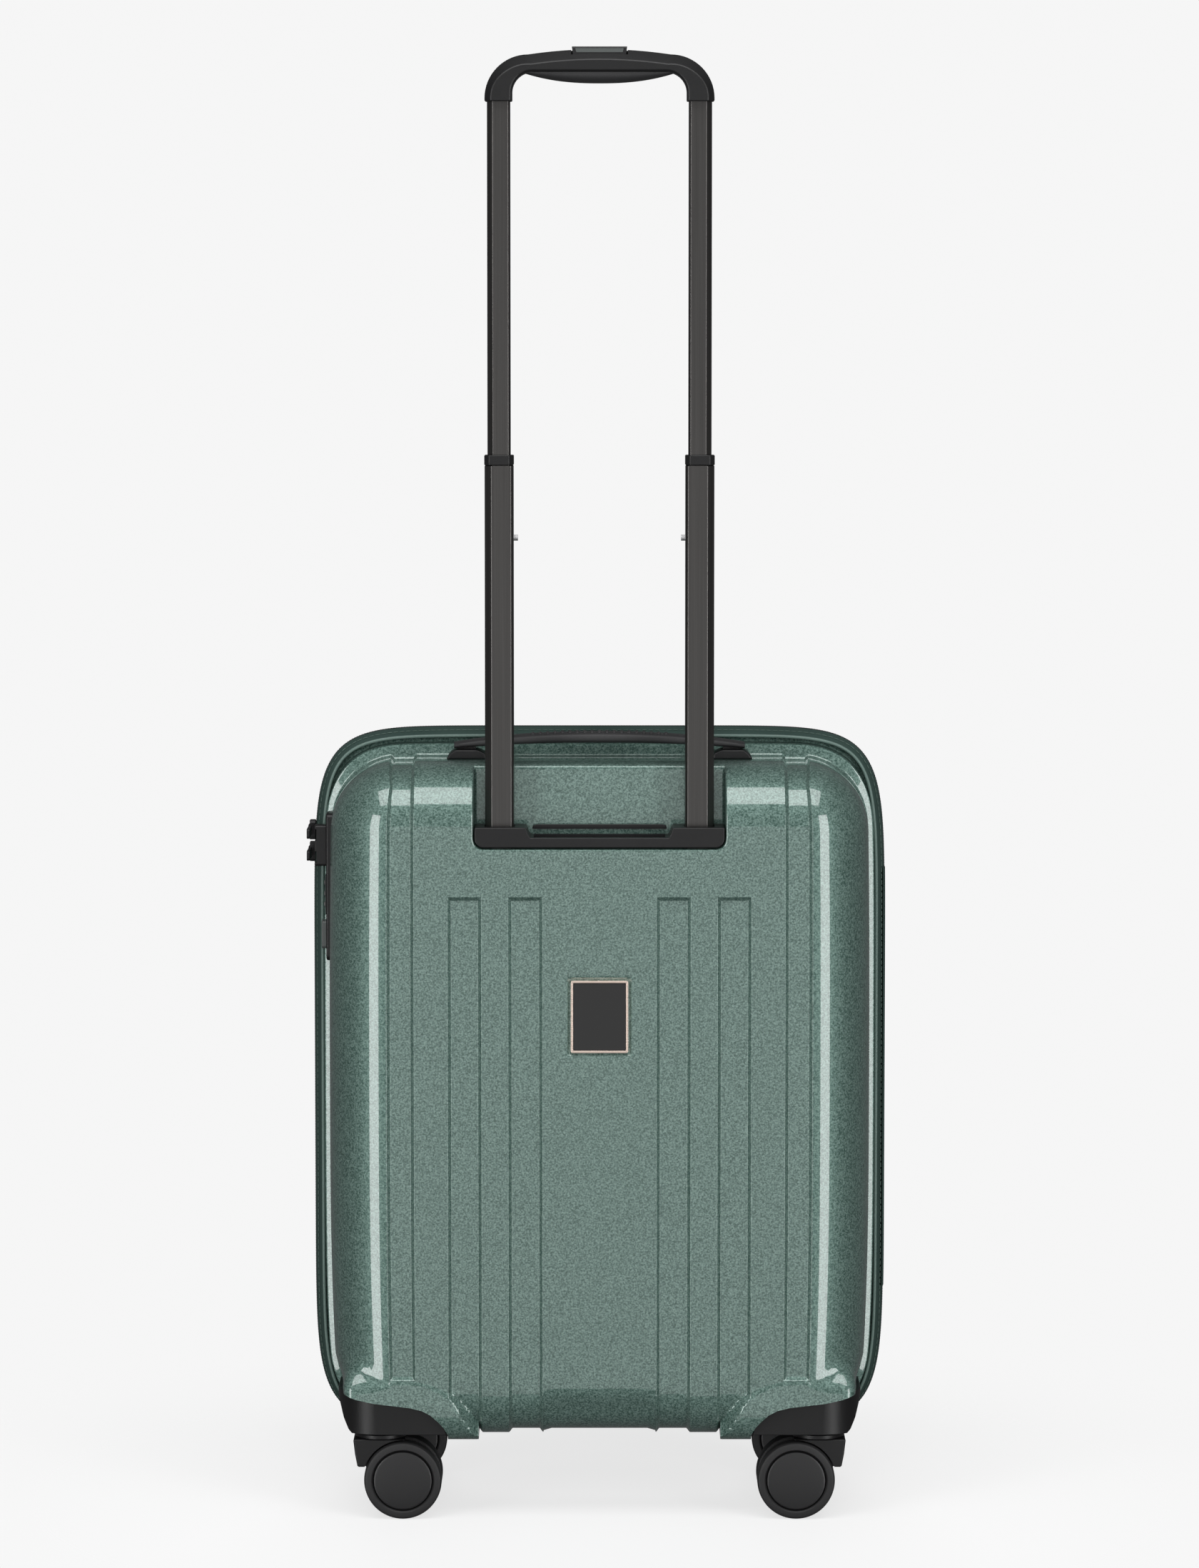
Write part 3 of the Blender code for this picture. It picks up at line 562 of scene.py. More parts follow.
def shell_sheet(name, side):
    """The formed sheet with its stepped rim; side is -1 for the rear half and 1 for the front."""
    box_points, faces = box_grid(columns, rows, depths)
    edge_loop = open_edge(faces)
    grid = box_points
    if side < 0:
        box_points = round_recess_corners(box_points)
    x, y, z = box_points.T
    plain, normals = body_point(box_points)
    near_corner = side_of(CREASE, np.abs(x), z)
    depth = pressed(x, z, side > 0)
    if side < 0:
        depth = depth + badge_seat(x, z)
    formed = plain - normals * (depth * smooth(near_corner, -1 * MM, 1.5 * MM))[:, None]
    soft_end = smooth(np.abs(x), 146 * MM, 180 * MM)
    bulge = smooth(-near_corner / MM, -0.7 - 15 * soft_end, 1.4 + 6 * soft_end) * (np.abs(x) > 80 * MM)
    bulge = bulge * smooth(-y, STEP_Y, STEP_Y + 12 * MM)
    formed = formed + (corner_point(box_points) - formed) * bulge[:, None]
    if side < 0:
        formed = press_recess(grid, formed)
    formed, plain = barrel(formed), barrel(plain)
    box_edge = box_points[edge_loop][:, [0, 2]]
    start = np.clip(box_edge, (-FLAT_HALF, FLAT_LOW), (FLAT_HALF, FLAT_HIGH))
    way = box_edge - start
    way /= np.linalg.norm(way, axis=1, keepdims=True)
    outer = outline_point(start, way)
    inner, foot = formed[edge_loop][:, [0, 2]], plain[edge_loop][:, [0, 2]]
    rings, before, count = [formed], edge_loop, len(edge_loop)
    for number, (share, y_mm) in enumerate(FLANGE):
        base = inner + (foot - inner) * min(1, share * 6)
        ring = base + (outer - base) * share
        rings.append(np.stack([ring[:, 0], np.full(count, -y_mm * MM), ring[:, 1]], 1))
        after = [len(formed) + number * count + i for i in range(count)]
        faces += [(before[i], before[i - 1], after[i - 1], after[i]) for i in range(count)]
        before = after
    points = np.concatenate(rings) * (1, -side, 1)
    if side > 0:
        faces = [face[::-1] for face in faces]
    return mesh_object(name, points, faces, 35)


def prism(name, outline, low, high, axis="Y"):
    """A flat outline drawn out along an axis: (x, z) along Y, (y, z) along X or (x, y) along Z."""
    order = {"X": (2, 0, 1), "Y": (0, 2, 1), "Z": (0, 1, 2)}[axis]
    made = bmesh.new()
    ends = [[made.verts.new([(a, b, c)[k] for k in order]) for a, b in outline] for c in (low, high)]
    made.faces.new(ends[0])
    made.faces.new(ends[1])
    for i in range(len(outline)):
        made.faces.new((ends[0][i - 1], ends[0][i], ends[1][i], ends[1][i - 1]))
    bmesh.ops.recalc_face_normals(made, faces=made.faces)
    return built(name, made, 30)


def rectangle(low, high, room=0.0):
    """A rectangle's corners, from its lowest and highest corner, made larger by room all round."""
    a, b, c, d = low[0] - room, low[1] - room, high[0] + room, high[1] + room
    return [(a, b), (c, b), (c, d), (a, d)]


def joined(name, pieces):
    """Several meshes as one piece."""
    made = bmesh.new()
    for piece in pieces:
        made.from_mesh(piece.data)
        bpy.data.objects.remove(piece)
    return built(name, made, 35)


def cut(piece, cutters):
    """Takes the cutters, which don't touch each other, out of the piece."""
    tool = joined("cutter", cutters)
    modified(piece, ("BOOLEAN", {"object": tool, "solver": "EXACT"}))
    bpy.data.objects.remove(tool)
    return shaded_again(piece)


def shaded_again(piece, angle=35):
    piece.data.shade_smooth()
    piece.data.set_sharp_from_angle(angle=math.radians(angle))
    return piece


green = Finish("green_flake_polycarbonate", (0.10, 0.16, 0.14), 0.46, 0.45)
green.set(Coat_Weight=1.0, Coat_Roughness=0.04, Coat_IOR=1.65, Specular_IOR_Level=0.4)
flake = green.node("ShaderNodeTexVoronoi", None, Vector=green.place(), Scale=1150.0, out="Color")
flake = green.node("ShaderNodeSeparateColor", None, flake)
speckle = (green.noise(760.0, 3.0, 0.62) - 0.5) * 1.4 + (flake - 0.5) * 0.4 + 0.5
green.tint(speckle.between(0.12, 0.95), (0.034, 0.078, 0.063), (0.184, 0.280, 0.247))
green.set(Roughness=0.38 + flake * 0.14)

tubes = [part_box(f"lower_tube_{hand}") for hand in ("left", "right")]


def tube_holes():
    """Cutters that let the two lower tubes through with half a millimetre of play."""
    return [prism("tube_hole", rectangle(low, high, 0.5 * MM), 0.44, 0.52, "Z") for low, high in tubes]


lock_low, lock_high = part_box("lock_body")
for half, side in (("rear", -1), ("front", 1)):
    shell = shell_sheet(f"{half}_shell_skin", side)
    modified(shell, ("SOLIDIFY", {"thickness": SHEET, "offset": -1}))
    cutters = []
    for hand in (-1, 1):
        outline = [(WELL_EDGE[0][0], 0.045), *WELL_EDGE, (0.215, 0.098), (0.215, 0.045)]
        outline = [(hand * x, z) for x, z in outline]
        cutters.append(prism("well", outline, *sorted((side * 0.0295, side * 0.13))))
    if side < 0:
        window = rectangle(lock_low.yz, lock_high.yz, 0.4 * MM)
        cutters.append(prism("window", window, -0.22, -0.16, "X"))
        cutters += tube_holes()
    cut(shell, cutters)
    finished(shell, green, "shell", f"{half}_half", f"{half}_shell")

# ---- the zip round the rim ----------------------------------------------------------------------
# Each half's rim carries a strip of dark green woven tape, sewn on under a round piping. At its
# outer edge sits a black nylon coil, which meshes with the other half's when the zip is closed.


def rim_path(inset, count=420):
    """Evenly spaced points on the case's outline, drawn in by inset, and the normals there."""
    turn = np.linspace(0, 2 * math.pi, 6000, endpoint=False)
    c, s = np.cos(turn), np.sin(turn)
    x = RIM_HALF * np.sign(c) * np.abs(c) ** (2 / RIM_SQUARENESS)
    z = RIM_MIDDLE + RIM_TALL * np.sign(s) * np.abs(s) ** (2 / RIM_SQUARENESS)
    loop = np.stack([x, z], 1)
    step = np.linalg.norm(np.roll(loop, -1, 0) - loop, axis=1)
    run = np.concatenate([[0], np.cumsum(step)])
    at = np.linspace(0, run[-1], count, endpoint=False)
    closed = np.concatenate([loop, loop[:1]])
    even = np.stack([np.interp(at, run, closed[:, k]) for k in (0, 1)], 1)
    along = np.roll(even, -1, 0) - np.roll(even, 1, 0)
    normal = np.stack([along[:, 1], -along[:, 0]], 1)
    normal /= np.linalg.norm(normal, axis=1, keepdims=True)
    return even - normal * inset, normal


def round_the_rim(name, profile, side, count=420):
    """A closed profile of (inset, distance from the middle) in millimetres, swept round the rim."""
    points, faces = [], []
    for inset, y in profile:
        ring = rim_path(inset * MM, count)[0]
        points.append(np.stack([ring[:, 0], np.full(count, side * y * MM), ring[:, 1]], 1))
    n = len(profile)
    for k in range(n):
        for i in range(count):
            j, m = (i + 1) % count, (k + 1) % n
            face = (k * count + i, k * count + j, m * count + j, m * count + i)
            faces.append(face if side < 0 else face[::-1])
    made = mesh_object(name, np.concatenate(points), faces, 50)
    return outward(made)


def outward(piece):
    made = bmesh.new()
    made.from_mesh(piece.data)
    bmesh.ops.remove_doubles(made, verts=made.verts, dist=1e-6)
    bmesh.ops.recalc_face_normals(made, faces=made.faces)
    made.to_mesh(piece.data)
    made.free()
    return piece


def repeat_tree(name):
    """Geometry Nodes that set a small box at an even pitch along a line of edges."""
    tree = bpy.data.node_groups.new(name, "GeometryNodeTree")
    sockets = {"Path": "Geometry", "Pitch": "Float", "Size": "Vector", "Finish": "Material"}
    for socket, kind in sockets.items():
        tree.interface.new_socket(socket, in_out="INPUT", socket_type=f"NodeSocket{kind}")
    tree.interface.new_socket("Row", in_out="OUTPUT", socket_type="NodeSocketGeometry")

    def node(kind, links=(), **settings):
        made = tree.nodes.new(kind)
        for key, value in settings.items():
            setattr(made, key, value)
        for socket, source in links:
            tree.links.new(source, made.inputs[socket])
        return made

    given = node("NodeGroupInput").outputs
    curve = node("GeometryNodeMeshToCurve", [("Mesh", given["Path"])])
    spaced = [("Curve", curve.outputs[0]), ("Length", given["Pitch"])]
    even = node("GeometryNodeResampleCurve", spaced, mode="LENGTH")
    tangent = [("Vector", node("GeometryNodeInputTangent").outputs[0])]
    turn = node("FunctionNodeAlignRotationToVector", tangent, axis="X", pivot_axis="Y")
    box = node("GeometryNodeMeshCube", [("Size", given["Size"])])
    row = [("Points", even.outputs[0]), ("Instance", box.outputs["Mesh"]), ("Rotation", turn.outputs[0])]
    row = node("GeometryNodeInstanceOnPoints", row)
    whole = node("GeometryNodeRealizeInstances", [("Geometry", row.outputs[0])])
    coated = node("GeometryNodeSetMaterial", [("Geometry", whole.outputs[0]), ("Material", given["Finish"])])
    node("NodeGroupOutput", [("Row", coated.outputs[0])])
    return tree


row_of_boxes = repeat_tree("row_of_boxes")


def repeated(name, points, pitch, size, finish):
    """A row of small boxes along a closed path, as one plain mesh."""
    mesh = bpy.data.meshes.new(name)
    edges = [(i, (i + 1) % len(points)) for i in range(len(points))]
    mesh.from_pydata([tuple(map(float, p)) for p in points], edges, [])
    made = bpy.data.objects.new(name, mesh)
    scene.collection.objects.link(made)
    row = made.modifiers.new("row", "NODES")
    row.node_group = row_of_boxes
    values = {"Pitch": pitch, "Size": size, "Finish": finish.made}
    for item in row_of_boxes.interface.items_tree:
        if item.in_out == "INPUT" and item.name in values:
            row[item.identifier] = values[item.name]
    modified(made)
    made.data.shade_flat()
    return made


def rim_row(name, body, inset, y, pitch, size, finish):
    """A row of small boxes round the rim."""
    path = [(x, y, z) for x, z in rim_path(inset, 900)[0]]
    row = repeated(name, path, pitch, size, finish)
    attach(row, body)


tape_green = Finish("dark_green_tape", (0.012, 0.030, 0.024), 0.85)
warp = (tape_green.axis(0) * 5200).wave() * (tape_green.axis(2) * 5200).wave()
tape_green.tint(warp * 0.5 + 0.5, (0.010, 0.024, 0.020), (0.028, 0.060, 0.050))
tape_green.bump(warp, 0.35, 0.0002)
# The piping's light green-grey is partly the cord's own colour and partly a painted highlight: it stands in
# for the light line the round bead catches along its top.
piping_cord_and_painted_highlight = Finish("piping", (0.10, 0.15, 0.13), 0.38)
piping_cord_and_painted_highlight.tint(piping_cord_and_painted_highlight.noise(900), (0.06, 0.10, 0.085), (0.14, 0.20, 0.18))
nylon = Finish("black_nylon_coil", (0.010, 0.010, 0.011), 0.32)
nylon.set(Roughness=0.28 + nylon.noise(400) * 0.2)
thread = Finish("green_thread", (0.05, 0.09, 0.075), 0.7)
thread.tint(thread.noise(1500), (0.03, 0.06, 0.05), (0.08, 0.12, 0.10))

TAPE = [(0, 1.4), (0, 2.4), (0.5, 4.2), (1.6, 7.0), (3.2, 10.0), (4.8, 12.2)]
TAPE += [(5.4, 11.7), (3.9, 9.4), (2.4, 6.7), (1.4, 4.0), (1.0, 2.4), (1.0, 1.4)]
PIPING = [t * math.pi / 5 for t in range(10)]
PIPING = [(5.9 + 1.15 * math.cos(t), 12.4 + 1.15 * math.sin(t)) for t in PIPING]
COVER = [(0.2, 0.25), (-0.25, 0.7), (-0.3, 1.3), (0.1, 1.9), (1.6, 1.9), (1.6, 0.25)]
for half, side in (("rear", -1), ("front", 1)):
    body = f"{half}_half"
    tape = round_the_rim(f"{half}_zip_tape_cloth", TAPE, side)
    finished(tape, tape_green, "zip_tape", body, f"{half}_zip_tape")
    finished(round_the_rim(f"{half}_piping", PIPING, side), piping_cord_and_painted_highlight, "zip_tape", body)
    finished(round_the_rim(f"{half}_coil_base", COVER, side), nylon, "zip_tape", body)
    tooth, stitch = (1.0 * MM, 1.0 * MM, 1.1 * MM), (3.0 * MM, 0.5 * MM, 0.5 * MM)
    rim_row(f"{half}_coil", body, 0.15 * MM, side * 0.75 * MM, 1.9 * MM, tooth, nylon)
    rim_row(f"{half}_seam", body, 2.05 * MM, side * 8.9 * MM, 4.4 * MM, stitch, thread)

# ---- the handle's base housing ------------------------------------------------------------------
# A moulded black plastic tray that fills the foot of the recess. The two tubes rise out of it, and
# its front lip is cut away in the middle for the fingers that lift the pushed-down handle.


def arc(cx, cz, radius, start, end, steps=6):
    """Points on a circle between two angles in degrees."""
    turns = [math.radians(start + (end - start) * i / steps) for i in range(steps + 1)]
    return [(cx + radius * math.cos(t), cz + radius * math.sin(t)) for t in turns]


def mirrored(outline):
    """An outline's right half, from its bottom to its top, made whole."""
    return outline + [(-x, z) for x, z in reversed(outline) if abs(x) > 1e-9]


def bevelled(piece, width, segments=3, angle=30):
    """Rounds the piece's sharp edges."""
    settings = {"width": width, "segments": segments, "limit_method": "ANGLE", "harden_normals": False}
    settings["angle_limit"] = math.radians(angle)
    modified(piece, ("BEVEL", settings))
    piece.data.shade_smooth()
    piece.data.set_sharp_from_angle(angle=math.radians(60))
    return piece


def rounded_box(name, low, high, radius, segments=3):
    outline = rectangle((low[0], low[2]), (high[0], high[2]))
    return bevelled(prism(name, outline, low[1], high[1]), radius, segments)


black = Finish("black_plastic", (0.009, 0.009, 0.0095), 0.40)
grain = black.noise(2600.0, 2.0)
black.set(Roughness=0.33 + grain * 0.16, Specular_IOR_Level=0.42)
black.tint(black.noise(35.0, 4.0), (0.004, 0.004, 0.0043), (0.008, 0.008, 0.0084))
black.bump(grain, 0.22, 0.00012)

base_low, base_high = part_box("handle_base_housing")
BASE_TOP = base_high.z
BASE_HALF = RECESS_HALF - 0.9 * MM
lip = arc(BASE_HALF - 6.2 * MM, RECESS_LOW + 7.1 * MM, 6.2 * MM, -90, 0)
lip = [(0, RECESS_LOW + 0.9 * MM), *lip, (BASE_HALF, BASE_TOP), (0.0545, BASE_TOP)]
lip += arc(0.0520, BASE_TOP - 1.8 * MM, 1.8 * MM, 80, 170, 4) + [(0.0492, 0.4822), (0.0478, 0.4800)]
housing = bevelled(prism("base_lip", mirrored(lip), -0.0998, -0.0690), 0.9 * MM, 3)
tray = rectangle((-0.0455, -0.0955), (0.0455, -0.0725))
cut(housing, [*tube_holes(), prism("tray", tray, 0.4765, 0.52, "Z")])
finished(housing, black, "black_plastic", "rear_half", "handle_base_housing")
rail = [(-0.0470, 0.4836), (0.0470, 0.4836), (0.0462, 0.4858)]
rail += [(0.0440, 0.4868), (-0.0440, 0.4868), (-0.0462, 0.4858)]
rail = bevelled(prism("finger_rail", rail, -0.0722, -0.0690), 0.5 * MM, 2)
finished(rail, black, "black_plastic", "rear_half")

# ---- the trolley handle -------------------------------------------------------------------------
# Two stages of satin black anodised aluminium tube, flat-sided with chamfered edges. Each lower
# tube ends in a moulded collar. The grip is a black plastic bow with a soft pad under its bar and
# a push button on top, which frees the latches.


def upright(name, middle, size, low, high, broad, narrow=None):
    """A length of tube; its outer corners are cut broadly, its inner ones, towards x = 0, narrowly."""
    w, d = size[0] / 2, size[1] / 2
    side = math.copysign(1, middle[0])
    near = broad if narrow is None else narrow
    corners = [(w - broad, -d), (w, -d + broad), (w, d - broad), (w - broad, d)]
    corners += [(-w + near, d), (-w, d - near), (-w, -d + near), (-w + near, -d)]
    section = [(middle[0] + side * x, middle[1] + y) for x, y in corners][:: int(side)]
    return prism(name, section, low, high, "Z")


anodised = Finish("satin_anodised_tube", (0.075, 0.073, 0.071), 0.34, 1.0)
drawn = anodised.noise(1.0, 3.0, vector=anodised.stretched((900, 900, 6)))
anodised.tint(drawn, (0.082, 0.079, 0.077), (0.128, 0.124, 0.120))
anodised.set(Roughness=0.30 + drawn * 0.12)
soft = Finish("soft_touch_grip", (0.020, 0.020, 0.021), 0.55)
soft_grain = soft.noise(3200.0, 2.0)
soft.set(Roughness=0.48 + soft_grain * 0.2)
soft.bump(soft_grain, 0.3, 0.00012)
button_grey = Finish("button_plastic", (0.055, 0.062, 0.060), 0.4)
button_grey.set(Roughness=0.30 + button_grey.noise(1800.0) * 0.12)

for hand in ("left", "right"):
    low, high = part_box(f"lower_tube_{hand}")
    middle = (low.x + high.x) / 2, (low.y + high.y) / 2
    size = high.x - low.x, high.y - low.y
    upper_low, upper_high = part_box(f"upper_tube_{hand}")
    width, depth = upper_high.x - upper_low.x, upper_high.y - upper_low.y
    tube = upright(f"lower_tube_{hand}_drawn", middle, size, low.z, high.z, 4.6 * MM, 1.8 * MM)
    bevelled(tube, 0.5 * MM, 2, 20)
    bore = width + 0.8 * MM, depth + 0.8 * MM
    cut(tube, [upright("bore", middle, bore, low.z - 0.01, high.z + 0.01, 3.6 * MM, 1.3 * MM)])
    finished(tube, anodised, "tube", "lower_stage", f"lower_tube_{hand}")
    low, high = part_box(f"tube_collar_{hand}")
    size = high.x - low.x, high.y - low.y
    collar = upright(f"tube_collar_{hand}_moulded", middle, size, low.z, high.z, 3.3 * MM)
    bevelled(collar, 0.7 * MM, 3, 20)
    bore = width + 0.5 * MM, depth + 0.5 * MM
    cut(collar, [upright("bore", middle, bore, low.z - 0.01, high.z + 0.01, 3.7 * MM, 1.4 * MM)])
    finished(collar, black, "black_plastic", "lower_stage", f"tube_collar_{hand}")
    size = width, depth
    tube = upright(f"upper_tube_{hand}_drawn", middle, size, upper_low.z, upper_high.z, 3.8 * MM, 1.5 * MM)
    finished(bevelled(tube, 0.5 * MM, 2, 20), anodised, "tube", "upper_stage", f"upper_tube_{hand}")

grip_low, grip_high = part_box("trolley_grip")
steps = [i / 6 for i in range(1, 7)]
outer = [(0.079, grip_low.z), *arc(0.049, 0.989, 0.030, 0, 90, 16)]
outer += [(0.049 - 0.049 * t, 1.019 + 0.0036 * (1 - (1 - t) ** 2)) for t in steps]
inner = [(0.060, grip_low.z), *arc(0.046, 0.993, 0.014, 0, 90, 16)]
inner += [(0.046 - 0.046 * t, 1.007) for t in steps]
stations = list(zip(outer, inner))
stations += [((-a[0], a[1]), (-b[0], b[1])) for a, b in reversed(stations[:-1])]
BROAD, NARROW, FRONT_CUT = 4.4 * MM, 1.4 * MM, 2.4 * MM
back, front = grip_low.y, grip_high.y


def loft(name, rings, capped=True, closed=True):
    """Quads between rings of equal length."""
    count = len(rings[0])
    points = [p for ring in rings for p in ring]
    faces = []
    for k in range(len(rings) - 1):
        for i in range(count if closed else count - 1):
            j = (i + 1) % count
            faces.append((k * count + i, k * count + j, (k + 1) * count + j, (k + 1) * count + i))
    if capped:
        faces += [tuple(range(count)), tuple(range((len(rings) - 1) * count, len(rings) * count))]
    return shaded_again(outward(mesh_object(name, points, faces, 50)), 50)


grip_rings = []
for out, near in stations:
    wide = math.hypot(out[0] - near[0], out[1] - near[1])
    broad = BROAD + 2.8 * MM * float(smooth(np.array(out[1]), 0.993, 1.018))
    section = [(NARROW, back), (wide - broad, back), (wide, back + broad), (wide, front - FRONT_CUT)]
    section += [(wide - FRONT_CUT, front), (FRONT_CUT, front), (0, front - FRONT_CUT), (0, back + NARROW)]
    ring = []
    for across, y in section:
        t = across / wide
        ring.append((near[0] + (out[0] - near[0]) * t, y, near[1] + (out[1] - near[1]) * t))
    grip_rings.append(ring)
grip = bevelled(loft("trolley_grip_moulded", grip_rings), 0.8 * MM, 3, 24)
well = mirrored([(0, 1.0132), (0.0195, 1.0132), (0.0195, 1.0300)])
well = prism("well", well, back + 4.0 * MM, -0.0744)
legs = []
for hand in ("left", "right"):
    low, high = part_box(f"upper_tube_{hand}")
    middle = (low.x + high.x) / 2, (low.y + high.y) / 2
    size = high.x - low.x + 0.2 * MM, high.y - low.y + 0.2 * MM
    legs.append(upright("socket", middle, size, 0.97, high.z + 0.2 * MM, 3.7 * MM, 1.4 * MM))
cut(grip, [well, *legs])
finished(grip, black, "black_plastic", "upper_stage", "trolley_grip")

raised = [(back + 4.4 * MM, 1.0175), (back + 4.4 * MM, 1.0236), (back + 5.1 * MM, 1.0243)]
raised += [(-0.0764, 1.0243), (-0.0750, 1.0230), (-0.0750, 1.0175)]
sides = [[(side * (0.0180 + (z - 1.0175) * 0.15), y, z) for y, z in raised] for side in (-1, 1)]
button = bevelled(loft("grip_button_moulded", sides), 0.3 * MM, 2, 25)
finished(button, black, "black_plastic", "grip_button", "grip_button")
inlay = [(back + y * MM, z) for y, z in ((4.2, 1.0203), (4.2, 1.0231), (4.9, 1.0231), (4.9, 1.0203))]
sides = [[(side * (0.0158 + (z - 1.0200) * 0.3), y, z) for y, z in inlay] for side in (-1, 1)]
inlay = bevelled(loft("grip_button_face", sides), 0.15 * MM, 1, 25)
finished(inlay, button_grey, "black_plastic", "grip_button")

PAD_HALF = 54 * MM
PAD_Y = -83 * MM
pad_rings = []
for i in range(33):
    x = (-1 + i / 16) * PAD_HALF
    sag = max(0.02, 1 - abs(x / PAD_HALF) ** 2.4)
    ring = []
    for k in range(17):
        turn = math.pi * k / 16
        y = PAD_Y + math.cos(turn) * 0.0105 * sag**0.35
        ring.append((x, y, 1.0069 - math.sin(turn) ** 0.8 * 0.0076 * sag))
    pad_rings.append(ring)
finished(loft("grip_pad_moulded", pad_rings), soft, "soft_grip", "upper_stage", "grip_pad")

# ---- the casters --------------------------------------------------------------------------------
# At each corner a black plastic housing closes the cut-away corner of the shell and holds a swivel.
# Under it turns a fork with two wheels: grey-black tyres moulded round hubs with a plain cap.


def lathe(name, profile, segments=64, smooth_angle=35):
    """A profile of (radius, height) turned about the Z axis at the origin."""
    rings = []
    for radius, height in profile:
        turns = [2 * math.pi * i / segments for i in range(segments)]
        rings.append([(radius * math.cos(t), radius * math.sin(t), height) for t in turns])
    return shaded_again(outward(loft(name, rings)), smooth_angle)


def placed(piece, matrix):
    piece.data.transform(matrix)
    piece.data.update()
    return piece


tyre = Finish("tyre_rubber", (0.030, 0.030, 0.031), 0.55)
tyre_grain = tyre.noise(1700.0, 3.0)
tyre.set(Roughness=0.5 + tyre_grain * 0.18)
tyre.tint(tyre.noise(60.0, 4.0), (0.010, 0.010, 0.0105), (0.017, 0.017, 0.0175))
tyre.bump(tyre_grain, 0.15, 0.0001)
cap_black = Finish("wheel_cap_plastic", (0.014, 0.014, 0.0145), 0.42)
cap_black.set(Roughness=0.36 + cap_black.noise(2200.0) * 0.14)

TYRE = [(20.9, 6.6), (20.9, 18.4), (21.5, 19.9), (22.2, 20.5), (24.9, 20.5), (26.3, 19.9), (27.0, 18.6)]
TYRE += [(27.2, 16.6), (27.2, 9.4), (27.0, 7.4), (26.3, 6.1), (24.9, 5.5), (21.8, 5.5), (20.9, 6.6)]
CAP = [(0, 6.0), (20.3, 6.0), (20.8, 7.0), (20.8, 18.6), (20.1, 19.9), (19.0, 20.4), (10, 20.9), (0, 21.0)]
WHEEL = (("tyre", TYRE, tyre, "tyre"), ("cap", CAP, cap_black, "black_plastic"))
PLATE = [(0, 55.1), (16.6, 55.1), (18.4, 56.6), (18.4, 58.8), (17.4, 59.7), (0, 59.7)]
FENDER = [(0.0190, 0.0562), (0.0178, 0.0460), (0.0160, 0.0365), (0.0090, 0.0365), (-0.0180, 0.0562)]
HOUSING_FOOT = [(0.1836, 0.0895), (0.1836, 0.0850), (0.1795, 0.0700), (0.1760, 0.0625)]
HOUSING_CORNER = [(0.1936, 0.1062), (0.1936, 0.0662)]
HOUSING_CORNER += [*arc(0.1536, 0.0662, 0.0301, 0, 90, 12), (0.1536, 0.1062)]
SWIVEL = (0.1535, 0.075)
AXLE_Z = 0.0272
for corner_y, side_y in (("rear", -1), ("front", 1)):
    for corner_x, side_x in (("left", -1), ("right", 1)):
        corner = f"{corner_y}_{corner_x}"
        housing_low, housing_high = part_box(f"{corner}_caster_housing")
        bottom = housing_low.z
        edge = [(x - 0.0006, z - 0.0007) for x, z in WELL_EDGE[:-1]]
        outline = [(0.1070, bottom), *edge[1:], *HOUSING_FOOT, (0.1735, bottom)]
        outline = [(side_x * x, z) for x, z in outline]
        near, far = sorted((side_y * 0.0300, side_y * 0.0962))
        block = prism(f"{corner}_housing_moulded", outline, near, far)
        turned = [(side_x * x, side_y * y) for x, y in HOUSING_CORNER]
        cut(block, [prism("turned", turned, 0.03, 0.12, "Z")])
        bevelled(block, 1.6 * MM, 3, 30)
        finished(block, black, "black_plastic", f"{corner_y}_half", f"{corner}_caster_housing")
        wheel_low, wheel_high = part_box(f"{corner}_wheel_outer")
        axle_x = (wheel_low.x + wheel_high.x) / 2
        swivel_x, swivel_y = side_x * SWIVEL[0], side_y * SWIVEL[1]
        plate = lathe("plate", [(r * MM, z * MM) for r, z in PLATE], 48)
        placed(plate, Matrix.Translation((swivel_x, swivel_y, 0)))
        fender = [(swivel_x + side_x * u, z) for u, z in FENDER]
        fender = prism("fender", fender, swivel_y - 0.0172, swivel_y + 0.0172)
        turned_y = Matrix.Translation((axle_x, swivel_y, AXLE_Z)) @ Matrix.Rotation(math.pi / 2, 4, "X")
        bevelled(fender, 1.2 * MM, 3, 25)
        room = placed(lathe("room", [(0, -0.03), (0.0284, -0.03), (0.0284, 0.03), (0, 0.03)], 72), turned_y)
        cut(fender, [room])
        ends = (200, 360) if side_x > 0 else (340, 180)
        web = [(swivel_x - side_x * 0.016, 0.0560), *arc(axle_x, AXLE_Z, 0.0095, *ends, 10)]
        web += [(swivel_x + side_x * 0.0160, 0.0366), (swivel_x + side_x * 0.0175, 0.0560)]
        web = bevelled(prism("web", web, swivel_y - 0.0043, swivel_y + 0.0043), 0.6 * MM, 2, 25)
        fork = joined(f"{corner}_fork_moulded", [plate, fender, web])
        finished(fork, black, "black_plastic", f"{corner}_caster", f"{corner}_fork")
        for place in ("outer", "inner"):
            low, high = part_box(f"{corner}_wheel_{place}")
            away = math.copysign(1, (low.y + high.y) / 2 - swivel_y)
            for kind, profile, finish, slot in WHEEL:
                made = lathe(f"{corner}_{place}_{kind}", [(r * MM, -away * h * MM) for r, h in profile], 72)
                placed(made, turned_y)
                finished(made, finish, slot, f"{corner}_wheel_{place}", f"{corner}_wheel_{place}")

# ---- the carry handle ---------------------------------------------------------------------------
# A flexible black handle along the top of the rear half: a steel strip moulded into soft plastic,
# which slides in two moulded end caps when it is lifted.

low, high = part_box("carry_handle")
CARRY_Y = (low.y + high.y) / 2
POST_X = 0.093


def strap_top(t):
    return 0.5412 + 0.0076 * (1 - t * t) ** 0.9


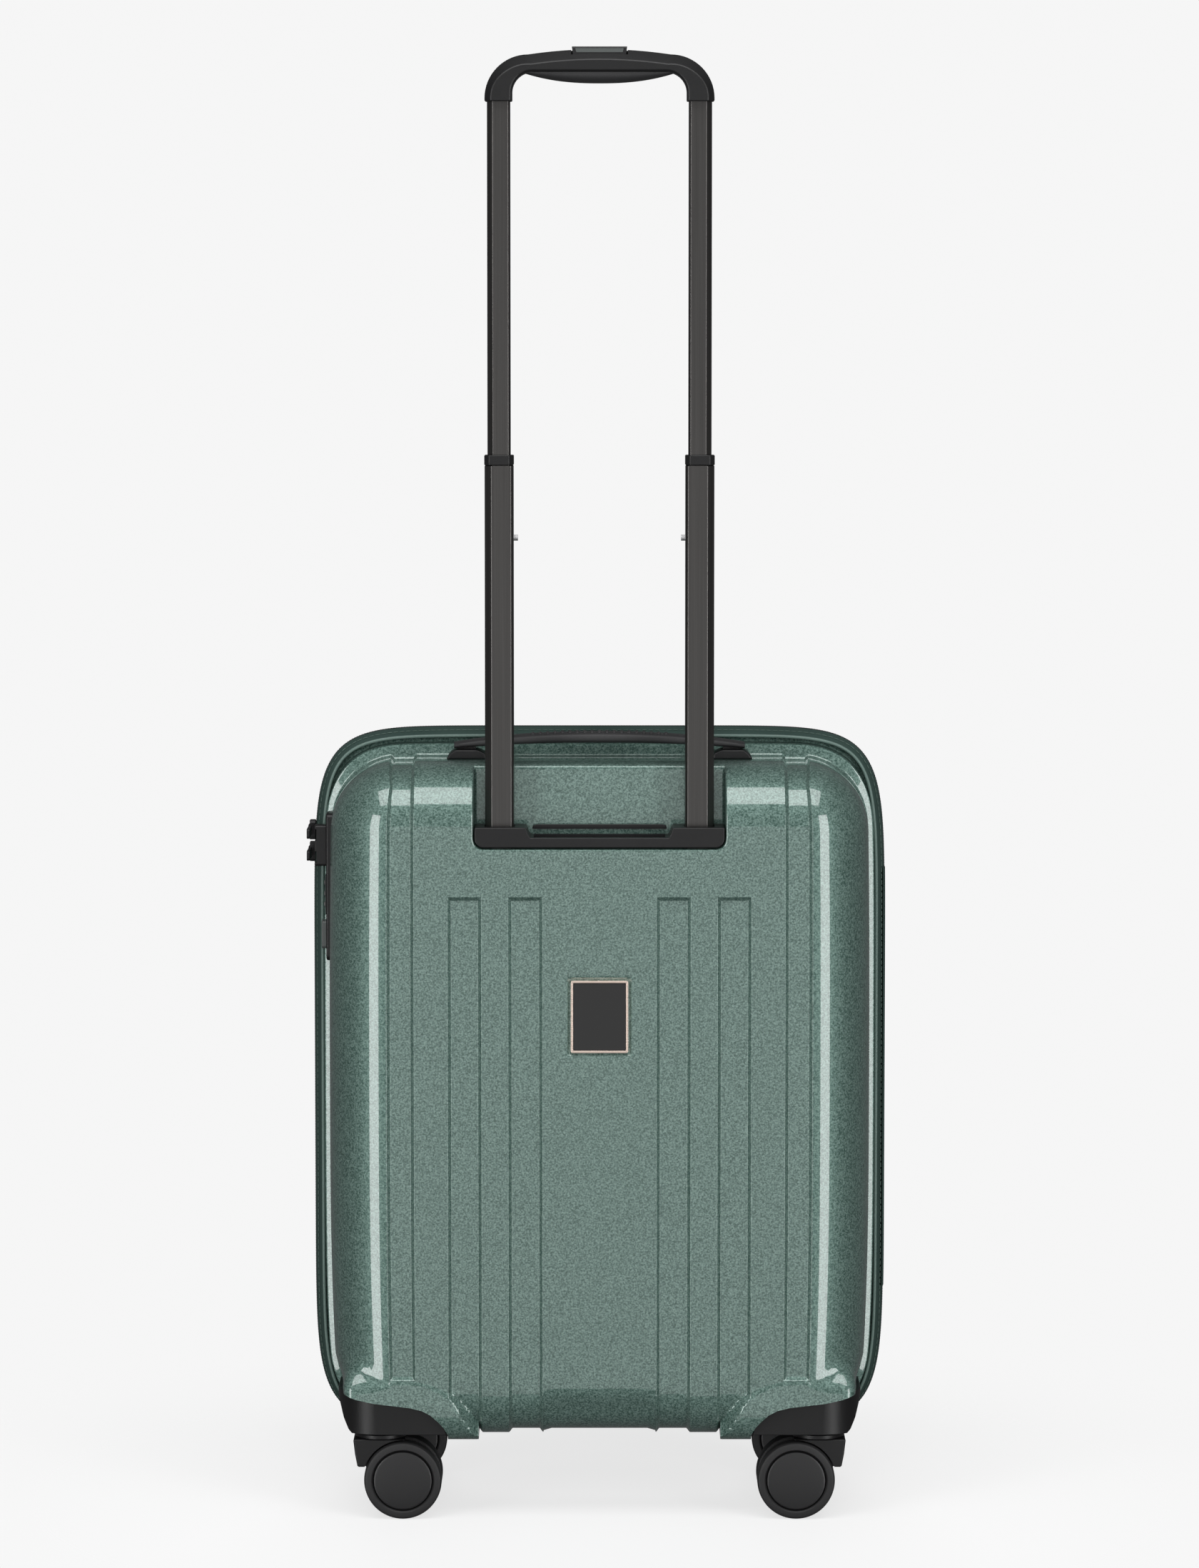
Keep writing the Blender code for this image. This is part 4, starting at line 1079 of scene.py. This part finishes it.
rings = []
for i in range(61):
    t = -1 + 2 * i / 60
    under, over = 0.5372 + 0.0040 * (1 - t * t), strap_top(t)
    middle, half_tall = (over + under) / 2, (over - under) / 2
    wide = 0.0098 + 0.0006 * (1 - t**4)
    ring = []
    for k in range(24):
        turn = 2 * math.pi * k / 24
        c, s = math.cos(turn), math.sin(turn)
        y = CARRY_Y + wide * math.copysign(abs(c) ** 0.6, c)
        ring.append((high.x * t, y, middle + half_tall * math.copysign(abs(s) ** 0.75, s)))
    rings.append(ring)
strap = loft("carry_handle_moulded", rings)
ribs = []
for i in range(-9, 10):
    x = i * 5.2 * MM
    over = strap_top(x / high.x)
    foot, head = (x - 0.0011, CARRY_Y - 0.0075, over - 0.0012), (x + 0.0011, CARRY_Y + 0.0075, over + 0.0004)
    ribs.append(rounded_box("rib", foot, head, 0.4 * MM, 1))
posts = []
for side in (-1, 1):
    post = rectangle((side * POST_X - 0.0062, 0.5060), (side * POST_X + 0.0062, 0.540))
    posts.append(prism("post", post, CARRY_Y - 0.0019, CARRY_Y + 0.0019))
whole = joined("carry_handle_whole", [strap, *ribs, *posts])
finished(whole, soft, "soft_grip", "carry_handle", "carry_handle")
CARRY_CAP = [(0.0795, 0.5300), (0.1075, 0.5300), (0.1050, 0.5338), (0.1010, 0.5366), (0.0860, 0.5366)]
CARRY_CAP += [(0.0800, 0.5340)]
for hand, side in (("left", -1), ("right", 1)):
    outline = [(side * x, z) for x, z in CARRY_CAP]
    cap = prism(f"carry_cap_{hand}_moulded", outline, CARRY_Y - 0.0130, CARRY_Y + 0.0130)
    bevelled(cap, 1.2 * MM, 3, 20)
    slot = rectangle((side * POST_X - 0.0070, CARRY_Y - 0.0025), (side * POST_X + 0.0070, CARRY_Y + 0.0025))
    cut(cap, [prism("slot", slot, 0.52, 0.55, "Z")])
    finished(cap, black, "black_plastic", "rear_half", f"carry_cap_{hand}")

# ---- the badge ----------------------------------------------------------------------------------
# A plain plate of near-black lacquered metal in a narrow frame of rose-coloured metal, stuck in a
# shallow seat in the back.

copper = Finish("rose_metal", (0.80, 0.66, 0.57), 0.26, 1.0)
lines_across = copper.noise(1.0, vector=copper.stretched((60, 60, 4000)))
copper.set(Roughness=0.2 + lines_across * 0.16)
face_black = Finish("badge_lacquer", (0.012, 0.012, 0.012), 0.38, 0.0)
face_black.set(Roughness=0.33 + face_black.noise(1500.0) * 0.12)
low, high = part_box("badge_frame")
middle = (low.z + high.z) / 2
half_x, half_z = high.x, (high.z - low.z) / 2


def rounded_rectangle(cx, cz, w, h, r):
    corners = ((w - r, h - r, 0), (-w + r, h - r, 90), (-w + r, -h + r, 180), (w - r, -h + r, 270))
    return [p for x, z, turn in corners for p in arc(cx + x, cz + z, r, turn, turn + 90, 4)]


frame_ring = prism("badge_frame_cast", rounded_rectangle(0, middle, half_x, half_z, 1.2 * MM), low.y, -0.0989)
hole = rounded_rectangle(0, middle, half_x - 1.7 * MM, half_z - 1.7 * MM, 0.6 * MM)
cut(frame_ring, [prism("hole", hole, -0.12, -0.09)])
finished(bevelled(frame_ring, 0.35 * MM, 2, 50), copper, "badge_metal", "rear_half", "badge_frame")
face = rounded_rectangle(0, middle, half_x - 1.8 * MM, half_z - 1.8 * MM, 0.6 * MM)
face = prism("badge_face_plate", face, -0.1004, -0.0989)
finished(bevelled(face, 0.2 * MM, 1, 50), face_black, "badge_metal", "rear_half", "badge_face")

# ---- the lock and the zip's sliders -------------------------------------------------------------
# A black moulded combination lock let into the rear half's left wall: three number wheels in
# windows, a release button below them, and a dock above that holds the two sliders' metal pulls.

white_ink = Finish("number_ink", (0.75, 0.75, 0.73), 0.5)
white_ink.set(Roughness=0.45 + white_ink.noise(3000.0) * 0.1)
gunmetal = Finish("gunmetal", (0.02, 0.02, 0.021), 0.5, 0.5)
scuff = gunmetal.noise(900.0, 3.0)
gunmetal.set(Roughness=0.36 + scuff * 0.18)
gunmetal.tint(scuff, (0.012, 0.012, 0.013), (0.028, 0.028, 0.029))


def side_plate(name, low_x, high_x, y, half_y, low_z, high_z, radius, bevel):
    """A plate with round corners that lies against the side wall."""
    outline = rounded_rectangle(y, (low_z + high_z) / 2, half_y, (high_z - low_z) / 2, radius)
    return bevelled(prism(name, outline, low_x, high_x, "X"), bevel, 3, 40)


dials = [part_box(f"lock_dial_{n}") for n in (1, 2, 3)]
button_low, button_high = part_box("lock_button")
LOCK_Y = (lock_low.y + lock_high.y) / 2
half_y = (lock_high.y - lock_low.y) / 2
DIAL_GAP = 0.35 * MM
ends = (lock_low.z, lock_high.z)
lock = side_plate("lock_plate", lock_low.x, lock_high.x, LOCK_Y, half_y, *ends, 4 * MM, 1.4 * MM)


def over_the_dials(name, half, low_x, high_x):
    """A cutter over each dial."""
    cutters = []
    for low, high in dials:
        outline = rectangle((LOCK_Y - half, low.z - DIAL_GAP), (LOCK_Y + half, high.z + DIAL_GAP))
        cutters.append(prism(name, outline, low_x, high_x, "X"))
    return cutters


cut(lock, over_the_dials("pocket", 9.6 * MM, -0.1906, -0.165))
hole = rounded_rectangle(LOCK_Y, (button_low.z + button_high.z) / 2, 7.4 * MM, 10.4 * MM, 2.4 * MM)
cut(lock, [*over_the_dials("window", 7.2 * MM, -0.2, -0.190), prism("button", hole, -0.2, -0.183, "X")])
dock = side_plate(
    "dock", -0.2000, lock_low.x + 0.0005, LOCK_Y - 2.4 * MM, 6.2 * MM, 0.4545, 0.4835, 2 * MM, 0.8 * MM
)
grooves = [rectangle((-0.05, z - 4.2 * MM), (-0.028, z + 4.2 * MM)) for z in (0.4765, 0.4610)]
cut(dock, [prism("groove", groove, -0.21, -0.1988, "X") for groove in grooves])
ends = (lock_low.x - 0.0006, lock_low.x + 0.001)
bezel = side_plate("bezel", *ends, LOCK_Y, half_y - 1.6 * MM, 0.4205, 0.4485, 2 * MM, 0.3 * MM)
hole = rounded_rectangle(LOCK_Y, 0.4345, 8.2 * MM, 12.4 * MM, 1.5 * MM)
cut(bezel, [prism("opening", hole, -0.2, -0.185, "X")])
finished(joined("lock_plate_whole", [lock, dock, bezel]), black, "black_plastic", "rear_half", "lock_body")
ends = (button_low.z + 0.1 * MM, button_high.z - 0.1 * MM)
release = (button_low.x, button_high.x, LOCK_Y, 6.9 * MM, *ends)
release = side_plate("lock_button_moulded", *release, 2.2 * MM, 0.9 * MM)
finished(release, button_grey, "black_plastic", "lock_button", "lock_button")

for number, (low, high) in enumerate(dials, 1):
    axis_x, middle = (low.x + high.x) / 2, (low.z + high.z) / 2
    outline = []
    for i in range(60):
        turn = 2 * math.pi * i / 60
        knurl = 0.0088 + 0.0002 * math.cos(30 * turn)
        outline.append((axis_x + knurl * math.cos(turn), LOCK_Y + knurl * math.sin(turn)))
    wheel = prism(f"lock_dial_{number}_moulded", outline, low.z + 0.1 * MM, high.z - 0.1 * MM, "Z")
    bevelled(wheel, 0.3 * MM, 1, 50)
    finished(wheel, black, "black_plastic", f"lock_dial_{number}", f"lock_dial_{number}")
    figures = []
    for digit in range(10):
        text = bpy.data.curves.new("figure", "FONT")
        text.body = str(digit)
        text.size = 4.2 * MM
        text.align_x, text.align_y = "CENTER", "CENTER"
        text.resolution_u = 2
        written = bpy.data.objects.new("figure", text)
        scene.collection.objects.link(written)
        bpy.context.view_layer.update()
        graph = bpy.context.evaluated_depsgraph_get()
        mesh = bpy.data.meshes.new_from_object(written.evaluated_get(graph))
        bpy.data.objects.remove(written)
        turn = Matrix.Rotation(math.radians(36 * digit), 4, "Z")
        stand = Matrix(((0, 0, -1, -0.00902), (-1, 0, 0, 0), (0, 1, 0, 0), (0, 0, 0, 1)))
        mesh.transform(Matrix.Translation((axis_x, LOCK_Y, middle)) @ turn @ stand)
        made = bpy.data.objects.new("figure", mesh)
        scene.collection.objects.link(made)
        figures.append(made)
    figures = joined(f"lock_dial_{number}_figures", figures)
    modified(figures, ("SOLIDIFY", {"thickness": 0.12 * MM, "offset": -1}))
    finished(figures, white_ink, "black_plastic", f"lock_dial_{number}")

SLIDER = [(-5.4, -3), (-4.2, -6.9), (4.2, -6.9), (5.4, -3), (4.4, 1.5), (5.2, 5), (3.6, 6.9), (0.8, 6.9)]
SLIDER += [(0, 4.6), (-0.8, 6.9), (-3.6, 6.9), (-5.2, 5), (-4.4, 1.5)]
for hand in ("upper", "lower"):
    low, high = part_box(f"zip_slider_{hand}")
    middle = (low.z + high.z) / 2
    flip = 1 if hand == "upper" else -1
    outline = [(y * MM, middle + flip * z * MM) for y, z in SLIDER]
    slider = bevelled(prism("slider", outline, low.x + 0.0008, high.x + 1.4 * MM, "X"), 0.5 * MM, 2, 30)
    bridge = [(low.x - 0.0001, middle - 3.6 * MM), (low.x - 0.0001, middle + 3.6 * MM)]
    bridge += [(low.x + 0.0011, middle + 5 * MM), (low.x + 0.0011, middle - 5 * MM)]
    bridge = bevelled(prism("bridge", bridge, -0.0052, -0.0040), 0.3 * MM, 2, 30)
    slider = joined(f"zip_slider_{hand}_cast", [slider, bridge])
    finished(slider, gunmetal, "zip_metal", f"zip_slider_{hand}", f"zip_slider_{hand}")
    low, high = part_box(f"zip_pull_{hand}")
    tab = rounded_rectangle((low.y + high.y) / 2, middle, (high.y - low.y) / 2, 3.5 * MM, 1.8 * MM)
    tab = prism(f"zip_pull_{hand}_cast", tab, low.x, high.x, "X")
    holes = []
    for y, half in ((low.y + 4.6 * MM, 2.6 * MM), (high.y - 4.6 * MM, 3.4 * MM)):
        hole = rounded_rectangle(y, middle, half, 1.7 * MM, 1.2 * MM)
        holes.append(prism("hole", hole, -0.22, -0.19, "X"))
    cut(tab, holes)
    bevelled(tab, 0.35 * MM, 2, 50)
    finished(tab, gunmetal, "zip_metal", f"zip_pull_{hand}", f"zip_pull_{hand}")

# ---- the linings --------------------------------------------------------------------------------
# Both halves are lined with thin grey polyester cloth, sewn to the tape round the rim and loose
# against the shell. In the rear half it goes over the hump that hides the handle's casings.

LINING_INSET = 5.8 * MM
lining_grey = Finish("lining_cloth", (0.035, 0.040, 0.040), 0.85)
weave = lining_grey.weave(3100)
rhomb = lining_grey.weave(330)
shade = weave * 0.25 + 0.5 + rhomb.between(0.2, 0.5) * 0.35
lining_grey.tint(shade, (0.050, 0.058, 0.057), (0.130, 0.145, 0.141))
lining_grey.bump(weave, 0.25, 0.00015)
coarse = quarter[::2]
keys = [93.5 * MM, 95.0 * MM, 97.5 * MM, 104 * MM, 106 * MM] + [FLAT_HALF + t for t in coarse]
lining_columns = grid_lines(keys, 0, BODY_HALF, 8 * MM)
lining_columns = [-c for c in reversed(lining_columns[1:])] + lining_columns
keys = [FLAT_LOW - t for t in coarse] + [FLAT_HIGH + t for t in coarse]
lining_rows = grid_lines(keys, BODY_LOW, BODY_HIGH, 8 * MM)
keys = [FLAT_Y + t for t in coarse] + [27 * MM, 29 * MM]
lining_depths = grid_lines(keys, 8 * MM, half_depth, 6 * MM)
for half, side in (("rear", -1), ("front", 1)):
    cloth_points, cloth_faces = box_grid(lining_columns, lining_rows, lining_depths)
    laid, away = body_point(cloth_points, LINING_INSET)
    x, y, z = laid.T
    ripple = 0.5 * np.sin(x * 61 + z * 17) * np.sin(z * 47 - x * 13) + 0.3 * np.sin(x * 130 + z * 90 + y * 70)
    laid = laid - away * (0.9 * MM * (1 + ripple) * smooth(-y, 0.012, 0.03))[:, None]
    x, y, z = laid.T
    if half == "rear":
        hump = 1 - smooth(np.abs(cloth_points[:, 0]), 93.4 * MM, 97.4 * MM)
        laid[:, 1] = np.where(y < -0.0633, y + (-0.0633 - y) * hump, y)
    over = np.interp(np.abs(laid[:, 0]), *zip(*WELL_EDGE)) + 2.6 * MM
    in_well = (laid[:, 1] < -27.5 * MM) & (np.abs(laid[:, 0]) > 103.5 * MM) & (laid[:, 2] < over)
    laid[:, 2] = np.where(in_well, over, laid[:, 2])
    laid = barrel(laid) * (1, -side, 1)
    if side > 0:
        cloth_faces = [face[::-1] for face in cloth_faces]
    cloth = mesh_object(f"{half}_lining_cloth", laid, cloth_faces, 60)
    modified(cloth, ("SOLIDIFY", {"thickness": 0.8 * MM, "offset": -1}))
    finished(cloth, lining_grey, "lining", f"{half}_half", f"{half}_lining")

# ---- the divider and the packing straps ---------------------------------------------------------
# A zipped divider of the same cloth closes the front half, bound round its edge and with a mesh
# pocket on it. Two crossed elastic straps of black webbing hold the clothes in the rear half.


def rim_sheet(name, inset, y, thickness, sag, rings=16, count=200):
    """A flat panel with the case's outline, slightly slack in the middle."""
    edge = rim_path(inset, count)[0]
    centre = np.array([0, RIM_MIDDLE])
    points, faces = [], []
    for k in range(rings):
        share = 1 - k / rings
        ring = centre + (edge - centre) * share
        slack = sag * (1 - share**4) * (1 + 0.35 * np.sin(ring[:, 0] * 38 + ring[:, 1] * 21))
        points += [(a, y + s, b) for (a, b), s in zip(ring, slack)]
        outer, inner = (k - 1) * count, k * count
        for i in range(count if k else 0):
            j = (i + 1) % count
            faces.append((outer + i, outer + j, inner + j, inner + i))
    points.append((0, y + sag, RIM_MIDDLE))
    faces += [(inner + i, inner + (i + 1) % count, inner + count) for i in range(count)]
    made = mesh_object(name, points, faces, 60)
    modified(made, ("SOLIDIFY", {"thickness": thickness, "offset": 0}))
    return outward(made)


panel_low, panel_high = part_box("divider_panel")
PANEL_Y = (panel_low.y + panel_high.y) / 2
panel = rim_sheet("divider_cloth", 7.4 * MM, PANEL_Y, 0.9 * MM, 0.8 * MM)
finished(panel, lining_grey, "lining", "front_half", "divider_panel")
webbing = Finish("black_webbing", (0.012, 0.012, 0.013), 0.7)
twill = (webbing.axis(0) * 2600 + webbing.axis(2) * 1500).wave()
webbing.tint(twill * 0.5 + 0.5, (0.007, 0.007, 0.008), (0.028, 0.028, 0.030))
webbing.bump(twill, 0.4, 0.0003)
mesh_cloth = Finish("pocket_mesh", (0.022, 0.025, 0.025), 0.8)
net = (mesh_cloth.axis(0) * 2100).wave().size() * (mesh_cloth.axis(2) * 2100).wave().size()
mesh_cloth.tint(net, (0.110, 0.120, 0.118), (0.020, 0.024, 0.024))
mesh_cloth.bump(net, 0.5, 0.0003)
binding = [(7.0, 2.9), (7.0, 5.4), (7.6, 5.9), (11.5, 5.7), (12.2, 5.2), (12.2, 3.3), (11.5, 2.9)]
binding = round_the_rim("divider_binding", binding, 1, 220)
finished(binding, webbing, "webbing", "front_half")
pocket = rounded_rectangle(0, 0.225, 0.150, 0.105, 0.012)
pocket = prism("mesh_pocket", pocket, PANEL_Y - 0.0022, PANEL_Y - 0.0012)
finished(bevelled(pocket, 0.3 * MM, 1, 50), mesh_cloth, "lining", "front_half")
hem = rounded_rectangle(0, 0.3265, 0.151, 0.0065, 0.003)
hem = prism("pocket_hem", hem, PANEL_Y - 0.0030, PANEL_Y - 0.0012)
finished(bevelled(hem, 0.4 * MM, 2, 50), webbing, "webbing", "front_half")
edge = [(x, PANEL_Y - 0.0022, z) for x, z in rounded_rectangle(0, 0.225, 0.1475, 0.1025, 0.011)]
seam = repeated("pocket_seam", edge, 4 * MM, (2.6 * MM, 0.6 * MM, 0.5 * MM), thread)
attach(seam, "front_half")

strap_low, strap_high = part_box("packing_straps")
STRAP_Y = (strap_low.y + strap_high.y) / 2
corner_core = Vector((FLAT_HALF, FLAT_LOW - BODY_MIDDLE))
reach = corner_core.length + EDGE - LINING_INSET - 3.5 * MM
way = corner_core.normalized()
for name, lean, layer in (("packing_strap_one", 1, 0.9 * MM), ("packing_strap_two", -1, -0.9 * MM)):
    along = Vector((way.x * lean, way.y))
    across = Vector((-along.y, along.x))
    rings = []
    for i in range(49):
        run = reach * (-1 + 2 * i / 48)
        drop = 7 * MM * float(smooth(np.array(abs(run)), reach - 0.035, reach))
        bow = layer * (1 - min(1, abs(run) / 0.06))
        ring = []
        for a, b in ((-12.5, -0.6), (12.5, -0.6), (12.5, 0.6), (-12.5, 0.6)):
            spot = along * run + across * a * MM
            ring.append((spot.x, STRAP_Y + bow - drop + b * MM, spot.y + BODY_MIDDLE))
        rings.append(ring)
    strap = bevelled(loft(name, rings), 0.35 * MM, 1, 60)
    finished(strap, webbing, "webbing", "rear_half", "packing_straps")
low, high = (-0.021, STRAP_Y - 0.0046, 0.2755), (0.021, STRAP_Y + 0.0020, 0.3115)
buckle = rounded_box("strap_buckle", low, high, 1.6 * MM, 3)
finished(buckle, black, "black_plastic", "rear_half")

# ---- the fabric hinge ---------------------------------------------------------------------------
# On the right side the two halves stay together: a doubled strip of the tape's cloth is sewn to
# both halves there.

hinge_rings = []
for i in range(41):
    z = 0.15 + 0.30 * i / 40
    x = RIM_HALF * (1 - abs((z - RIM_MIDDLE) / RIM_TALL) ** RIM_SQUARENESS) ** (1 / RIM_SQUARENESS)
    ring = []
    for k in range(9):
        y = (-4 + k) * 2.4 * MM
        ring.append((x + 0.9 * MM - abs(y) * 0.12, y, z))
    ring += [(a - 0.7 * MM, b, c) for a, b, c in reversed(ring)]
    hinge_rings.append(ring)
hinge = loft("fabric_hinge", hinge_rings)
hinge.data.materials.append(tape_green.made)
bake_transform(hinge)

# ---- the steel and the casings inside -----------------------------------------------------------
# The handle's lower tubes run in two extruded casings behind the lining, joined at their foot by a
# bracket. The studs and the wheels' axles are plain bright steel.

steel = Finish("bright_steel", (0.80, 0.80, 0.81), 0.4, 1.0)
steel.set(Roughness=0.34 + steel.noise(700.0, 3.0) * 0.15)
casing = Finish("extruded_casing", (0.30, 0.30, 0.31), 0.4, 1.0)
drawn = casing.noise(1.0, 3.0, vector=casing.stretched((700, 700, 5)))
casing.tint(drawn, (0.22, 0.22, 0.23), (0.38, 0.38, 0.39))
bare = {"stud_left": steel, "stud_right": steel, "handle_foot_bracket": black}
bare.update({f"tube_casing_{hand}": casing for hand in ("left", "right")})
bare.update({f"{end}_{hand}_axle": steel for end in ("rear", "front") for hand in ("left", "right")})
for name, finish in bare.items():
    for slot in nodes[name].material_slots:
        slot.material = finish.made
